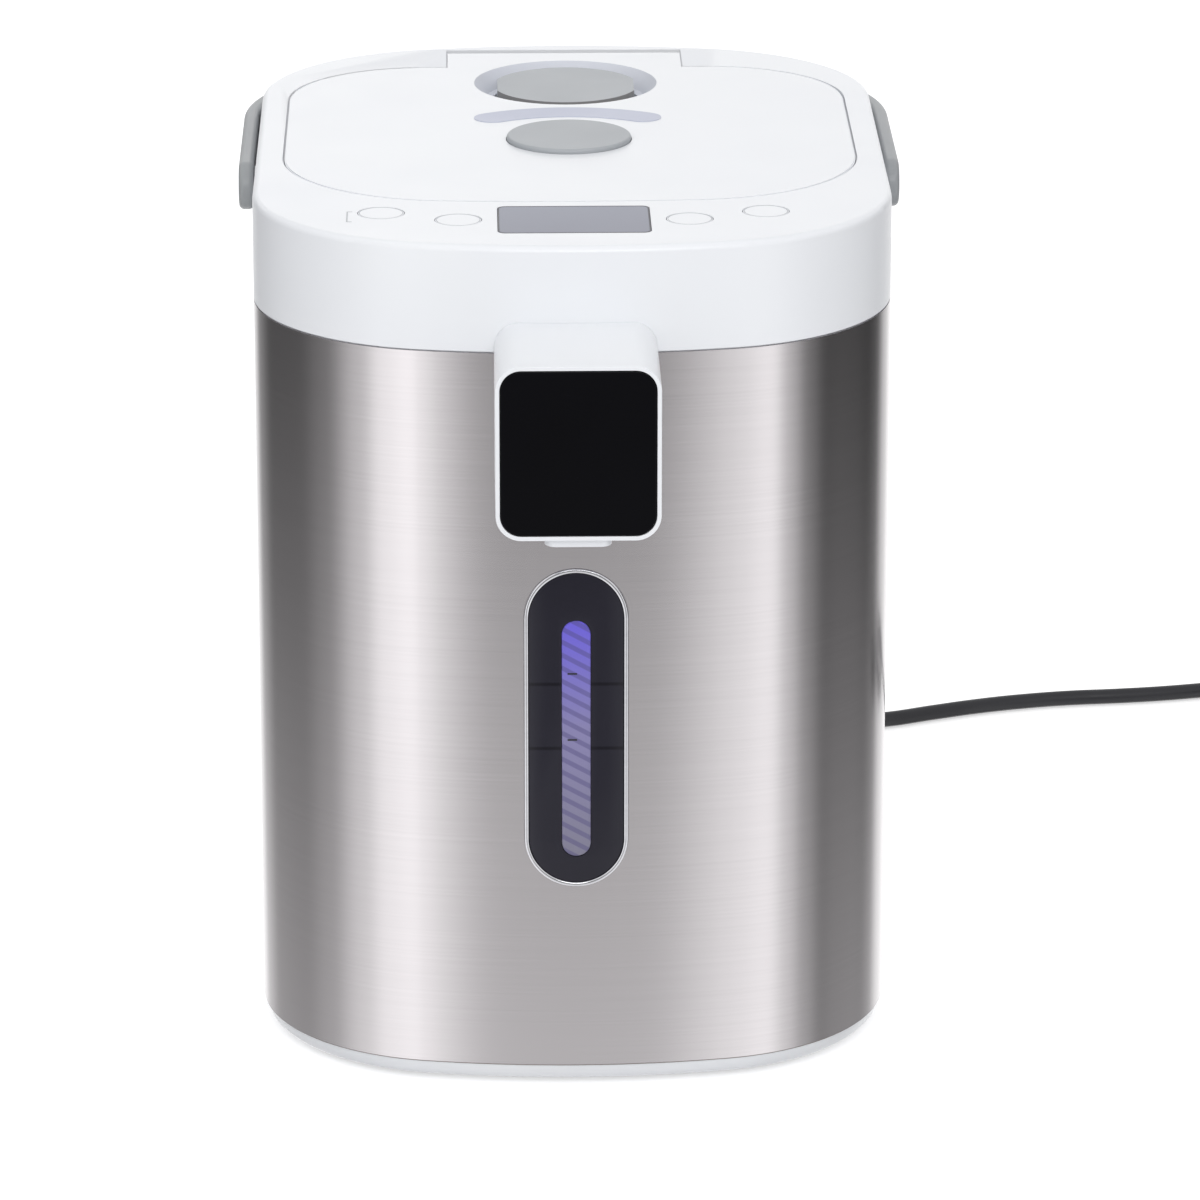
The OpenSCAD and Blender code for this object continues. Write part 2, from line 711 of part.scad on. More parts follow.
module spout_tube() color("ivory") {
    translate([0, tube_y - bend_r, tube_top]) rotate([90, 0, 90]) elbow();
    translate([0, tube_y - bend_r, tube_run_z]) rotate([90, 0, 0])
        linear_extrude(tube_y - 2 * bend_r - nozzle_y) tube_ring();
    translate([0, nozzle_y + bend_r, tube_top]) rotate([90, 0, 90]) rotate([0, 0, 90]) elbow();
    translate([0, nozzle_y, spout_floor + 5]) linear_extrude(tube_top - spout_floor - 5) tube_ring();
}

// ---------------------------------------------------------------- level window

window_mid = top_z - window_top - window_h / 2;

module window_hole(g) translate([0, -body_d / 2, window_mid]) rotate([90, 0, 0])
    linear_extrude(20, center = true) slot_shape(window_w + 2 * g, window_h + 2 * g);

module window_frame() color("silver") translate([0, -body_d / 2 + 2.4, window_mid]) rotate([90, 0, 0]) {
    linear_extrude(3) difference() {
        slot_shape(window_w, window_h);
        slot_shape(window_w - 2 * window_rim, window_h - 2 * window_rim);
    }
    linear_extrude(0.8) difference() {
        slot_shape(window_w, window_h);
        slot_shape(window_w - 2 * window_rim - 3, window_h - 2 * window_rim - 3);
    }
}

strip_top = 19.5;
strip_h = window_h - 2 * strip_top + 8;

module window_panel() color([0.15, 0.15, 0.18])
    translate([0, -body_d / 2 + 1.5, window_mid]) rotate([90, 0, 0]) linear_extrude(1.6) difference() {
        g = window_rim + seat_fit;
        slot_shape(window_w - 2 * g, window_h - 2 * g);
        translate([0, -4]) slot_shape(strip_w + 2 * seat_fit, strip_h + 2 * seat_fit);
    }

module level_strip() color("mediumpurple")
    translate([0, -body_d / 2 + 1.5, window_mid - 4]) rotate([90, 0, 0])
        linear_extrude(1.4) slot_shape(strip_w, strip_h);

// ---------------------------------------------------------------- spout

module spout_prism(g, y0, y1) translate([0, face_y, face_z])
    translate([0, y1, 0]) rotate([90, 0, 0])
        linear_extrude(y1 - y0) soft_rect(spout_w - 2 * g, spout_h - 2 * g, spout_r - g);

module spout_shell() color("white") difference() {
    intersection() {
        spout_prism(0, -12, spout_reach + 12);
        translate([-60, face_y, 0]) cube([120, spout_reach + 12, top_z]);
    }
    spout_prism(spout_t, -12, spout_reach + 14);
    translate([0, face_y - 1, face_z]) rotate([-90, 0, 0])
        linear_extrude(face_t + 1.1) soft_rect(spout_w - 2 * face_rim, spout_h - 2 * face_rim, spout_r - face_rim);
    linear_extrude(top_z) body_plan(pin_fit);
    translate([0, nozzle_y, spout_floor - 10]) linear_extrude(20)
        soft_rect(nozzle_w + 2 * seat_fit, nozzle_d + 2 * seat_fit, 4);
}

module spout_face() color("black") translate([0, face_y, face_z]) rotate([-90, 0, 0])
    linear_extrude(face_t)
        soft_rect(spout_w - 2 * face_rim - 2 * seat_fit, spout_h - 2 * face_rim - 2 * seat_fit,
                  spout_r - face_rim - seat_fit);

module nozzle() color("white") translate([0, nozzle_y, 0]) difference() {
    union() {
        translate([0, 0, spout_floor - nozzle_drop]) linear_extrude(nozzle_drop + 6)
            soft_rect(nozzle_w, nozzle_d, 4);
        translate([0, 0, spout_floor + spout_t + 1]) linear_extrude(3)
            soft_rect(nozzle_w + 4, nozzle_d + 1.4, 4);
    }
    translate([0, 0, spout_floor - 10]) cylinder(r = tube_bore_r, h = 30);
    translate([0, 0, spout_floor + 5]) cylinder(r = tube_r + pin_fit, h = 10);
}

// ---------------------------------------------------------------- controls

module display_lens() color("slategray") translate([0, -display_y, top_z - lens_t])
    linear_extrude(lens_t) soft_rect(display_w, display_d, 3);

module display_module() color("darkslategray") translate([0, -display_y, board_z + board_t])
    linear_extrude(top_z - deck_t - board_z - board_t - 0.3) soft_rect(display_w - 6, display_d - 6, 1.5);

module control_board() color("darkgreen") translate([0, -outer_y, board_z]) {
    translate([0, -6, 0]) linear_extrude(board_t) soft_rect(2 * outer_x + 22, 26, 3);
    for (p = button_places) translate([p[0], p[1] + outer_y, board_t]) {
        translate([-3, -3, 0]) cube([6, 6, switch_h - 1]);
        cylinder(r = 1.7, h = switch_h);
    }
    for (x = [-1, 1]) translate([x * (outer_x - 16) - 5, 3, -6]) cube([10, 5, 6.5]);
}

module button(i) color("white") translate([button_places[i][0], button_places[i][1], 0]) {
    z0 = board_z + board_t + switch_h + button_travel + seat_fit;
    translate([0, 0, top_z - button_t]) cylinder(r = button_r, h = button_t);
    translate([0, 0, z0]) cylinder(r = post_button_r, h = top_z - button_t - z0 + 0.5);
}

module power_board() color("darkgreen") {
    translate([0, body_d / 2 - power_inset, foot_h + plate_t + 4]) {
        translate([-power_w / 2, -power_d / 2, 0]) cube([power_w, power_d, board_t]);
        translate([-38, -9, board_t]) cube([20, 16, 14]);
        translate([-12, -8, board_t]) cube([9, 12, 11]);
        for (i = [0 : 2]) translate([8 + i * 12, 0, board_t]) cylinder(r = 4.2, h = 11);
    }
    for (x = [-1, 1]) translate([x * (power_w / 2 - 5), body_d / 2 - power_inset, foot_h + plate_t])
        cylinder(r = 3, h = 4);
}

// ---------------------------------------------------------------- power inlet and cord

module power_inlet() color("black") translate([0, body_d / 2, inlet_z]) rotate([90, 0, 0]) {
    difference() {
        union() {
            translate([0, 0, -0.8]) linear_extrude(22) soft_rect(inlet_w, inlet_h, 4);
            translate([0, 0, steel_t + 1.2]) linear_extrude(1.5) soft_rect(inlet_w + 8, inlet_h + 8, 5);
        }
        translate([0, 0, -2]) linear_extrude(16) soft_rect(inlet_w - 6, inlet_h - 6, 3);
    }
    for (x = [-1, 1]) translate([x * 7, 0, 3]) cylinder(r = 2, h = 12);
}

module inlet_connector() color("black") translate([0, body_d / 2, inlet_z]) rotate([-90, 0, 0]) {
    difference() {
        translate([0, 0, -13]) linear_extrude(14) soft_rect(inlet_w - 6.6, inlet_h - 6.6, 2.8);
        for (x = [-1, 1]) translate([x * 7, 0, -16]) cylinder(r = 2.1, h = 14);
    }
    translate([0, 0, 1]) linear_extrude(connector_len - 7) soft_rect(inlet_w - 2, inlet_h - 2, 4);
    translate([0, 0, connector_len - 6]) linear_extrude(6) soft_rect(inlet_w - 10, inlet_h - 8, 4);
}

module cord_relief() color("black") translate([0, exit_y - body_y - relief_len, inlet_z]) rotate([-90, 0, 0])
    rotate_extrude() polygon([[0, 0], [6, 0], [cord_r + 0.6, relief_len], [0, relief_len]]);

// Points of a smooth curve through the route
function bend_point(p, i, t) =
    let (a = p[max(i - 1, 0)], b = p[i], c = p[i + 1], d = p[min(i + 2, len(p) - 1)])
    0.5 * (2 * b + (c - a) * t + (2 * a - 5 * b + 4 * c - d) * t * t
           + (3 * b - a - 3 * c + d) * t * t * t);
function smooth(p, n) = [
    for (i = [0 : len(p) - 2]) for (k = [0 : n - 1]) bend_point(p, i, k / n),
    p[len(p) - 1]
];
function unit(v) = v / norm(v);

module tube_along(route, r, steps, sides) {
    p = smooth(route, steps);
    last = len(p) - 1;
    ring = [for (i = [0 : last])
        let (dir = unit(p[min(i + 1, last)] - p[max(i - 1, 0)]),
             across = unit(cross([0, 0, 1], dir)),
             up = cross(dir, across))
        for (k = [0 : sides - 1])
            p[i] + r * (cos(k * 360 / sides) * across + sin(k * 360 / sides) * up)];
    skin = [for (i = [0 : last - 1]) for (k = [0 : sides - 1])
        let (n = (k + 1) % sides)
        [i * sides + k, (i + 1) * sides + k, (i + 1) * sides + n, i * sides + n]];
    near = [for (k = [0 : sides - 1]) k];
    far = [for (k = [0 : sides - 1]) last * sides + sides - 1 - k];
    polyhedron(points = ring, faces = concat(skin, [near], [far]), convexity = 10);
}

module cord() color("black") tube_along(cord_route, cord_r, 2, 10);

module cord_coil() color("black") translate([coil_x, coil_y, 1])
    rotate_extrude() translate([coil_r - cord_d, 0]) square([2 * cord_d, 2 * cord_d - 0.5]);

module cord_tail() color("black") tube_along(tail_route, cord_r, 2, 10);

module cord_tie() color("dimgray") translate([coil_x - coil_r, coil_y, cord_d + 0.75])
    rotate([90, 0, 0]) linear_extrude(8, center = true) difference() {
        square([2 * cord_d + 3, 2 * cord_d + 1.4], center = true);
        square([2 * cord_d + 1.2, 2 * cord_d - 0.1], center = true);
    }

module cord_plug() color("black") translate([tail_x - 2, tail_y - 22, 12]) {
    rotate([90, 0, 0]) linear_extrude(24) soft_rect(26, 22, 5);
    translate([0, 22, 3.3 - 12]) rotate([90, 0, 0])
        rotate_extrude() polygon([[0, 0], [cord_r + 0.1, 0], [cord_r + 0.1, 22.5], [0, 22.5]]);
    for (x = [-1, 1]) translate([x * 6.4 - 0.8, -24 - 17, -3]) cube([1.6, 18, 6.4]);
}

// ---------------------------------------------------------------- lid

module tongue_profile() {
    translate([lid_back - 14, top_z - tongue_t]) square([hinge_y - lid_back + 14, tongue_t]);
    translate([lid_back - 14, top_z - tongue_deep]) square([22, tongue_deep]);
    translate([hinge_y, hinge_z]) sector(tongue_t / 2, -90, 90);
    translate([hinge_y - 2, hinge_z - 2]) square([4, 4]);
}

// Window that a latch bolt passes through
module bolt_windows() for (s = [0, 1]) mirror([s, 0, 0])
    translate([guide_x + 12, bolt_y - bolt_w / 2 - slide_fit, bolt_z - slide_fit])
        cube([60, bolt_w + 2 * slide_fit, bolt_t + 2 * slide_fit]);

module screw_holes() for (x = [-1, 1]) for (y = [-1, 1])
    translate([x * screw_x, pot_cy + y * screw_y, inner_z - 1]) cylinder(r = 1.3 + pin_fit, h = 12);

module dish_cut() {
    translate([0, dish_y, 0]) rotate_extrude()
        polygon([[0, dish_z], [dish_in, dish_z], [dish_r, top_z], [dish_r, top_z + 1], [0, top_z + 1]]);
    translate([0, lever_y, pocket_z]) cylinder(r = pocket_r, h = pocket_depth);
    translate([-lug_hw - 0.6, lever_pin_y - 5.4, pocket_z - 6]) cube([2 * lug_hw + 1.2, 8.2, 7]);
    // room for the lever's back edge as it tips down
    translate([-lever_r / 2, lever_pin_y, pocket_z + 1.4])
        cube([lever_r, pocket_r - lever_pin_back + 1.6, 6]);
}

// Rails under the dish that carry the latch slider, and the spring's stop
module slider_rails() {
    for (s = [0, 1]) mirror([s, 0, 0]) for (y = [[slider_y0, 9], [lever_y + 10.5, 14]]) {
        translate([slider_hw + 0.4, y[0], slider_z - 3]) cube([2.4, y[1], pocket_z - slider_z + 2.5]);
        translate([slider_hw - 2, y[0], slider_z - 3]) cube([4, y[1], 2.6]);
    }
    translate([-6, spring_y0 - 2, slider_z - 2]) cube([12, 2, pocket_z - slider_z + 1.5]);
}

module lid_cover() color("white") difference() {
    union() {
        difference() {
            union() {
                difference() {
                    union() {
                        translate([0, 0, skirt_z]) linear_extrude(top_z - skirt_z - cover_edge)
                            lid_plan(0);
                        translate([0, 0, skirt_z]) linear_extrude(top_z - skirt_z)
                            lid_plan(-cover_edge);
                    }
                    translate([0, 0, skirt_z - 1]) linear_extrude(top_z - skirt_z + 1 - lid_t)
                        lid_plan(-skirt_t);
                }
                translate([-tongue_w / 2, 0, 0]) rotate([90, 0, 90]) linear_extrude(tongue_w)
                    tongue_profile();
                translate([0, 0, pocket_z - dish_wall]) linear_extrude(pocket_depth) intersection() {
                    translate([0, dish_y]) circle(dish_r + dish_wall);
                    lid_plan(-1);
                }
                translate([0, cap_y, top_z - cup_depth - cup_t])
                    cylinder(r = cap_r + slide_fit + cup_t, h = cup_depth + cup_t - 1);
            }
            dish_cut();
        }
        for (x = [-1, 1]) translate([x * post_x, lever_pin_y, 0]) {
            translate([-2, 0, lever_pin_z]) rotate([0, 90, 0]) cylinder(r = 2.3, h = 4);
            translate([-2, -2, pocket_z - 1]) cube([4, 4, lever_pin_z - pocket_z + 1]);
        }
        slider_rails();
        for (x = [-1, 1]) for (y = [-1, 1])
            translate([x * screw_x, pot_cy + y * screw_y, inner_z + 2]) cylinder(r = 4, h = top_z - inner_z - 4);
    }
    translate([-post_x - 5, lever_pin_y, lever_pin_z]) rotate([0, 90, 0])
        cylinder(r = lever_pin_r + pin_fit, h = 2 * post_x + 10);
    translate([0, cap_y, top_z - cup_depth]) cylinder(r = cap_r + slide_fit, h = cup_depth + 1);
    translate([0, cap_y, top_z - 40]) cylinder(r = 6 + seat_fit, h = 40);
    translate([0, hinge_y, hinge_z]) rotate([0, 90, 0])
        cylinder(r = pin_r + pin_fit, h = tongue_w + 2, center = true);
    bolt_windows();
    screw_holes();
}

module inner_lid() color("gainsboro") difference() {
    union() {
        difference() {
            union() {
                translate([0, 0, inner_z]) linear_extrude(skirt_z + 2 - inner_z)
                    lid_ring(-skirt_t - 0.8, -skirt_t - 2.8);
                translate([0, 0, inner_z]) linear_extrude(2) lid_plan(-skirt_t - 1.8);
                translate([0, pot_cy, inner_z - plug_h]) cylinder(r = plug_r, h = plug_h + 1);
            }
            translate([0, pot_cy, inner_z - plug_h + 1.5]) cylinder(r = plug_r - 1.5, h = plug_h + 5);
        }
        for (s = [0, 1]) mirror([s, 0, 0]) {
            translate([guide_x, bolt_y - bolt_w / 2 - 2.5, inner_z + 1])
                cube([10, bolt_w + 5, bolt_z - inner_z + bolt_t - 1.6]);
        }
        translate([0, cap_y, inner_z - plug_h])
            cylinder(r = 6, h = top_z - cup_depth - inner_z + plug_h + 1);
    }
    translate([0, cap_y, inner_z - plug_h + 1.5]) cylinder(r = 4, h = 40);
    for (a = [0 : 120 : 240]) translate([2.2 * cos(a), cap_y + 2.2 * sin(a), inner_z - plug_h - 1])
        cylinder(r = 1.2, h = 6);
    for (s = [0, 1]) mirror([s, 0, 0]) translate([guide_x - 4, bolt_y - bolt_w / 2 - slide_fit, bolt_z - slide_fit])
        cube([60, bolt_w + 2 * slide_fit, bolt_t + 20]);
    // room for the latch slider and its rails
    translate([-slider_hw - 3.2, lever_y, slider_z - 3 - slide_fit])
        cube([2 * slider_hw + 6.4, 60, 30]);
    screw_holes();
}

module vent_ball() color("silver")
    translate([0, cap_y, inner_z - plug_h + 1.5 + 3.2]) sphere(3.2);

module lid_seal() color("darkgray") translate([0, pot_cy, rim_z + slide_fit])
    linear_extrude(inner_z - rim_z - slide_fit) ring_shape(pot_r + rim_w - 1, plug_r + seat_fit);

module lid_screws() color("silver")
    for (x = [-1, 1]) for (y = [-1, 1]) translate([x * screw_x, pot_cy + y * screw_y, 0]) {
        translate([0, 0, inner_z - 1.3]) cylinder(r = 2.8, h = 1.3);
        translate([0, 0, inner_z - 0.5]) cylinder(r = 1.3, h = 10);
    }

module hinge_pin() color("silver") translate([0, hinge_y, hinge_z]) rotate([0, 90, 0])
    cylinder(r = pin_r, h = tongue_w + 2 * cheek_t - 4, center = true);

module lever_plan(g) intersection() {
    translate([0, lever_y]) circle(lever_r - g);
    translate([0, lever_y]) square([2 * (lever_hw - g), 3 * lever_r], center = true);
}

module lid_lever() color("darkgray") difference() {
    union() {
        translate([0, 0, lever_top - lever_t]) linear_extrude(lever_t) lever_plan(0);
        translate([0, 0, lever_top - 7.4]) linear_extrude(6) difference() {
            lever_plan(0);
            lever_plan(lever_skirt);
            translate([-60, 100]) square(120);
        }
        for (x = [-ear_x - 1.8, ear_x - 1.8]) lever_arm(x, 3.6, lever_pin_z);
        lever_arm(-lug_hw, 2 * lug_hw, lever_pin_z);
        translate([-lug_hw, lever_pin_y - lug_r, lever_pin_z - crank])
            cube([2 * lug_hw, 2 * lug_r, crank]);
        translate([-lug_hw, lever_pin_y, lever_pin_z - crank]) rotate([0, 90, 0])
            cylinder(r = lug_r, h = 2 * lug_hw);
    }
    translate([-30, lever_pin_y, lever_pin_z]) rotate([0, 90, 0])
        cylinder(r = lever_pin_r + pin_fit, h = 60);
}

module lever_arm(x, w, z) {
    translate([x, lever_pin_y, z]) rotate([0, 90, 0]) cylinder(r = ear_r, h = w);
    translate([x, lever_pin_y - 2.2, z]) cube([w, 4.4, lever_top - 1 - z]);
}

module lever_pin() color("silver") translate([-ear_x - 1.6, lever_pin_y, lever_pin_z])
    rotate([0, 90, 0]) cylinder(r = lever_pin_r, h = 2 * ear_x + 3.2);

module latch_slider() color("lightgray") difference() {
    union() {
        translate([-slider_hw, slider_y0, slider_z]) cube([2 * slider_hw, slider_y1 - slider_y0, slider_t]);
        translate([0, slider_y0 + 1, slider_z + slider_t / 2]) rotate([90, 0, 0]) cylinder(r = 1.3, h = 7);
    }
    translate([-lug_hw - 0.4, lever_pin_y - lug_r - slide_fit, slider_z - 1])
        cube([2 * lug_hw + 0.8, 2 * lug_r + 2 * slide_fit, 10]);
    for (s = [0, 1]) mirror([s, 0, 0])
        translate([bolt_pin_x - pull / 2, bolt_y + pull / 2, slider_z - 1]) rotate(45) linear_extrude(10)
            slot_shape(2 * (bolt_pin_r + slide_fit), 2 * (bolt_pin_r + slide_fit) + pull * sqrt(2));
}

module latch_spring() color("silver") translate([0, slider_y0 - 0.1, slider_z + slider_t / 2])
    rotate([90, 0, 0]) linear_extrude(slider_y0 - spring_y0 - 0.2) ring_shape(2.3, 1.7);

module latch() {
    intersection() {
        translate([bolt_x0, bolt_y - bolt_w / 2, bolt_z]) cube([110, bolt_w, bolt_t]);
        translate([0, 0, bolt_z]) linear_extrude(bolt_t) lid_plan(0.3);
    }
    translate([bolt_pin_x, bolt_y, bolt_z + 1]) cylinder(r = bolt_pin_r, h = bolt_t + slider_t - 1);
}

module latch_left() color("gray") mirror([1, 0, 0]) latch();
module latch_right() color("gray") latch();

module label_band() color("lavender") translate([0, band_y, top_z]) linear_extrude(band_t) {
    difference() {
        intersection() {
            circle(band_r + band_w / 2);
            polygon([[0, 0], 2 * band_end, 2 * [-band_end[0], band_end[1]]]);
        }
        circle(band_r - band_w / 2);
    }
    for (s = [-1, 1]) translate([s * band_end[0], band_end[1]]) circle(band_w / 2);
}

module steam_cap() color("darkgray") translate([0, cap_y, 0]) difference() {
    union() {
        translate([0, 0, top_z - 1]) rotate_extrude() {
            square([cap_r - 1, 1 + cap_rise]);
            square([cap_r, cap_rise]);
            translate([cap_r - 1, cap_rise]) sector(1, 0, 90);
        }
        translate([0, 0, top_z - cup_depth + slide_fit]) linear_extrude(cup_depth - slide_fit)
            ring_shape(cap_r, cap_r - 2);
    }
    for (a = [60 : 30 : 120]) rotate(a) translate([cap_r - 4, -2, top_z - cup_depth]) cube([6, 4, cup_depth - 2]);
    for (a = [60 : 30 : 120]) rotate(a) translate([cap_r - 1, -2, top_z - 4]) cube([6, 4, 4.2]);
}

// ---------------------------------------------------------------- handle

module bar_shape() translate([handle_gap + handle_t / 2, top_z - pivot_drop])
    soft_rect(handle_t, handle_h, handle_edge);

// Half of the bar's cross-section, radius against thickness, turned into the hub's round end
module hub_half() intersection() {
    rotate(-90) soft_rect(handle_t, handle_h, handle_edge);
    translate([0, -handle_t]) square([handle_h, 2 * handle_t]);
}

module handle() color("darkgray") difference() {
    union() {
        mirror([0, 1, 0]) half_sweep(body_half) bar_shape();
        for (s = [0, 1]) mirror([s, 0, 0]) {
            translate([body_w / 2, -corner_cy(body_half), 0]) rotate([90, 0, 0])
                linear_extrude(-corner_cy(body_half)) bar_shape();
            translate([body_w / 2 + handle_gap + handle_t / 2, 0, top_z - pivot_drop])
                rotate([0, 90, 0]) rotate([0, 0, 180]) rotate_extrude(angle = 180) hub_half();
        }
    }
    for (s = [0, 1]) mirror([s, 0, 0]) translate([body_w / 2, 0, top_z - pivot_drop]) rotate([0, 90, 0])
        cylinder(r = pivot_r + pin_fit, h = handle_gap + handle_t - hub_cap);
}

module handle_pivots() color("gray") for (s = [0, 1]) mirror([s, 0, 0])
    translate([body_w / 2 - 7, 0, top_z - pivot_drop]) rotate([0, 90, 0])
        cylinder(r = pivot_r, h = 7 + handle_gap + handle_t - hub_cap - slide_fit);

// ---------------------------------------------------------------- assembly

seat() base_housing();
seat() rubber_feet();
seat() base_screws();
seat() body_shell();
seat() collar();
seat() inner_pot();
seat() pot_rim_seal();
seat() pot_support();
seat() heater_plate();
seat() thermostat();
seat() thermal_fuse();
seat() pump_housing();
seat() pump_impeller();
seat() pump_motor();
seat() suction_hose();
seat() riser_hose();
seat() gauge_tube();
seat() spout_tube();
seat() window_frame();
seat() window_panel();
seat() level_strip();
seat() spout_shell();
seat() spout_face();
seat() nozzle();
seat() display_lens();
seat() display_module();
seat() control_board();
seat() button(0);  // button_reboil
seat() button(1);  // button_temperature
seat() button(2);  // button_unlock
seat() button(3);  // button_dispense
seat() power_board();
seat() power_inlet();
seat() inlet_connector();
seat() cord_relief();
cord();
cord_coil();
cord_tail();
cord_tie();
cord_plug();
seat() lid_cover();
seat() inner_lid();
seat() lid_seal();
seat() lid_screws();
seat() hinge_pin();
seat() lid_lever();
seat() lever_pin();
seat() latch_slider();
seat() latch_spring();
seat() latch_left();
seat() latch_right();
seat() steam_cap();
seat() vent_ball();
seat() label_band();
seat() handle();
seat() handle_pivots();
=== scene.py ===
"""Oval electric thermo pot: finishes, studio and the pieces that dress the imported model."""
import math
import bmesh
import bpy
from mathutils import Matrix, Vector
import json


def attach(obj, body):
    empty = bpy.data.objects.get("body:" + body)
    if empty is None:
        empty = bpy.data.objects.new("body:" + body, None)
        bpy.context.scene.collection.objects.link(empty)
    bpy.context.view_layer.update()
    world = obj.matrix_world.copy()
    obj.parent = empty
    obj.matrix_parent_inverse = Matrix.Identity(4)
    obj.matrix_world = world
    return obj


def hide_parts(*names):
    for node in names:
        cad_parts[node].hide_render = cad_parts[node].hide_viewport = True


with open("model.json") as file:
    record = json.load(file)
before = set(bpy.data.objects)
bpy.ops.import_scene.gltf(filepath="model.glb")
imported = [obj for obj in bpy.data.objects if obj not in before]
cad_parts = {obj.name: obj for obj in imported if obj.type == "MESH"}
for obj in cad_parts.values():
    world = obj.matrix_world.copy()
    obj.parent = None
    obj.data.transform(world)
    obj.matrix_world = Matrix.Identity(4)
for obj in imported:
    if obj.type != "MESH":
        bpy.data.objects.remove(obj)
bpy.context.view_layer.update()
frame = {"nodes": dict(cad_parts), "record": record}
nodes = frame["nodes"]
MM = 0.001

# Sizes in millimetres. Heights are above the table; the rest is about the pot's own middle.
BACK = 24.0  # the pot's own middle lies this far behind the frame's origin
TOP = 316.0  # top of the collar
BODY_HALF_WIDE, BODY_HALF_DEEP = 115, 150
BODY_CORNER, BODY_BOW = 74.2, 280.24  # radii of the corners and of the bowed front and back
WALL_FOOT, WALL_TALL, WALL_THICK = 9.0, 268, 1.0
WINDOW_WIDE, WINDOW_TALL, WINDOW_MIDDLE, WINDOW_RIM = 37.2, 120, 138, 1.6
STRIP_WIDE, STRIP_TALL, STRIP_MIDDLE = 10.4, 89, 134
INLET_HOLE_WIDE, INLET_HOLE_TALL, INLET_HOLE_CORNER, INLET_MIDDLE = 34.2, 24.2, 4, 42
LID_HALF_WIDE, LID_FRONT, LID_BACK = 104.5, 88, 113
LID_FRONT_CORNER, LID_BACK_CORNER = 62.5, 50
LIP_FOOT = 312.5  # where the pale lip in the lid's seam starts
LEVER_MIDDLE, DISH_MIDDLE, DISH_RADIUS = 86.5, 88.5, 35.2
FIT = 0.2  # what an opening has over the piece in it, both sides together
PRINT_THICK = 0.05


# ---------------------------------------------------------------- camera
def link(item):
    bpy.context.scene.collection.objects.link(item)
    return item


def set_camera():
    data = bpy.data.cameras.new("studio_camera")
    data.sensor_width = 36
    data.lens = 209.14
    data.clip_end = 50
    camera = link(bpy.data.objects.new("studio_camera", data))
    camera.location = (-0.0383, -2.4759, 0.95655)
    tilt, pan = 0.3167, 0.0199  # down from level, and to the right
    camera.rotation_euler = (math.pi / 2 - tilt, 0, -pan)
    bpy.context.scene.camera = camera


set_camera()


# ---------------------------------------------------------------- node helpers
def shade(red, green, blue):
    """A screen colour, 0 to 255, as the linear colour that a shader reads."""
    def linear(c):
        c /= 255
        return c / 12.92 if c <= 0.04045 else ((c + 0.055) / 1.055) ** 2.4
    return (linear(red), linear(green), linear(blue), 1.0)


def put(tree, kind, wires=(), **settings):
    """Adds a shader node; wires are (input, value or output socket)."""
    node = tree.nodes.new("ShaderNode" + kind)
    for key, value in settings.items():
        setattr(node, key, value)
    for slot, value in wires:
        if isinstance(value, bpy.types.NodeSocket):
            tree.links.new(value, node.inputs[slot])
        else:
            node.inputs[slot].default_value = value
    return node


def remap(tree, value, low, high, to_low=0.0, to_high=1.0, **settings):
    """Spreads a stretch of values over another one, clamped at its ends."""
    wires = [("Value", value), ("From Min", low), ("From Max", high),
             ("To Min", to_low), ("To Max", to_high)]
    return put(tree, "MapRange", wires, **settings).outputs["Result"]


def blend(tree, share, first, second):
    """Mixes two colours."""
    share_in, first_in, second_in, colour_out = 0, 6, 7, 2  # the Mix node's sockets for colours
    wires = [(share_in, share), (first_in, first), (second_in, second)]
    return put(tree, "Mix", wires, data_type="RGBA").outputs[colour_out]


def work_out(tree, operation, *values):
    """Runs one operation of the Math node."""
    return put(tree, "Math", list(enumerate(values)), operation=operation).outputs[0]


def start_group(name, inputs, outputs):
    """A node group with named inputs and outputs; gives back its tree, its inputs and its outputs."""
    tree = bpy.data.node_groups.new(name, "ShaderNodeTree")
    for label, kind, value in inputs:
        socket = tree.interface.new_socket(label, in_out="INPUT", socket_type="NodeSocket" + kind)
        if value is not None:
            socket.default_value = value
    for label, kind in outputs:
        tree.interface.new_socket(label, in_out="OUTPUT", socket_type="NodeSocket" + kind)
    return tree, tree.nodes.new("NodeGroupInput").outputs, tree.nodes.new("NodeGroupOutput").inputs


def moulded_skin():
    """Plastic and rubber: slow colour drift, fine mould grain and faint handling marks."""
    tree, given, out = start_group(
        "moulded_skin",
        [("Vector", "Vector", None), ("Colour", "Color", (0.8, 0.8, 0.8, 1)),
         ("Drift", "Color", (0.7, 0.7, 0.7, 1)), ("Drift Scale", "Float", 9.0),
         ("Grain Scale", "Float", 900.0), ("Roughness Low", "Float", 0.3),
         ("Roughness High", "Float", 0.4)],
        [("Colour", "Color"), ("Roughness", "Float"), ("Height", "Float")])
    cloud = put(tree, "TexNoise", [("Vector", given["Vector"]), ("Scale", given["Drift Scale"]),
                                   ("Detail", 3.0), ("Roughness", 0.55)])
    marks = put(tree, "TexNoise", [("Vector", given["Vector"]), ("Scale", 38.0), ("Detail", 5.0),
                                   ("Distortion", 0.6)])
    grain = put(tree, "TexNoise", [("Vector", given["Vector"]), ("Scale", given["Grain Scale"]),
                                   ("Detail", 2.0)])
    drift = remap(tree, cloud.outputs["Fac"], 0.35, 0.65)
    gloss = remap(tree, marks.outputs["Fac"], 0.3, 0.7, given["Roughness Low"], given["Roughness High"])
    tree.links.new(blend(tree, drift, given["Colour"], given["Drift"]), out["Colour"])
    tree.links.new(gloss, out["Roughness"])
    tree.links.new(grain.outputs["Fac"], out["Height"])
    return tree


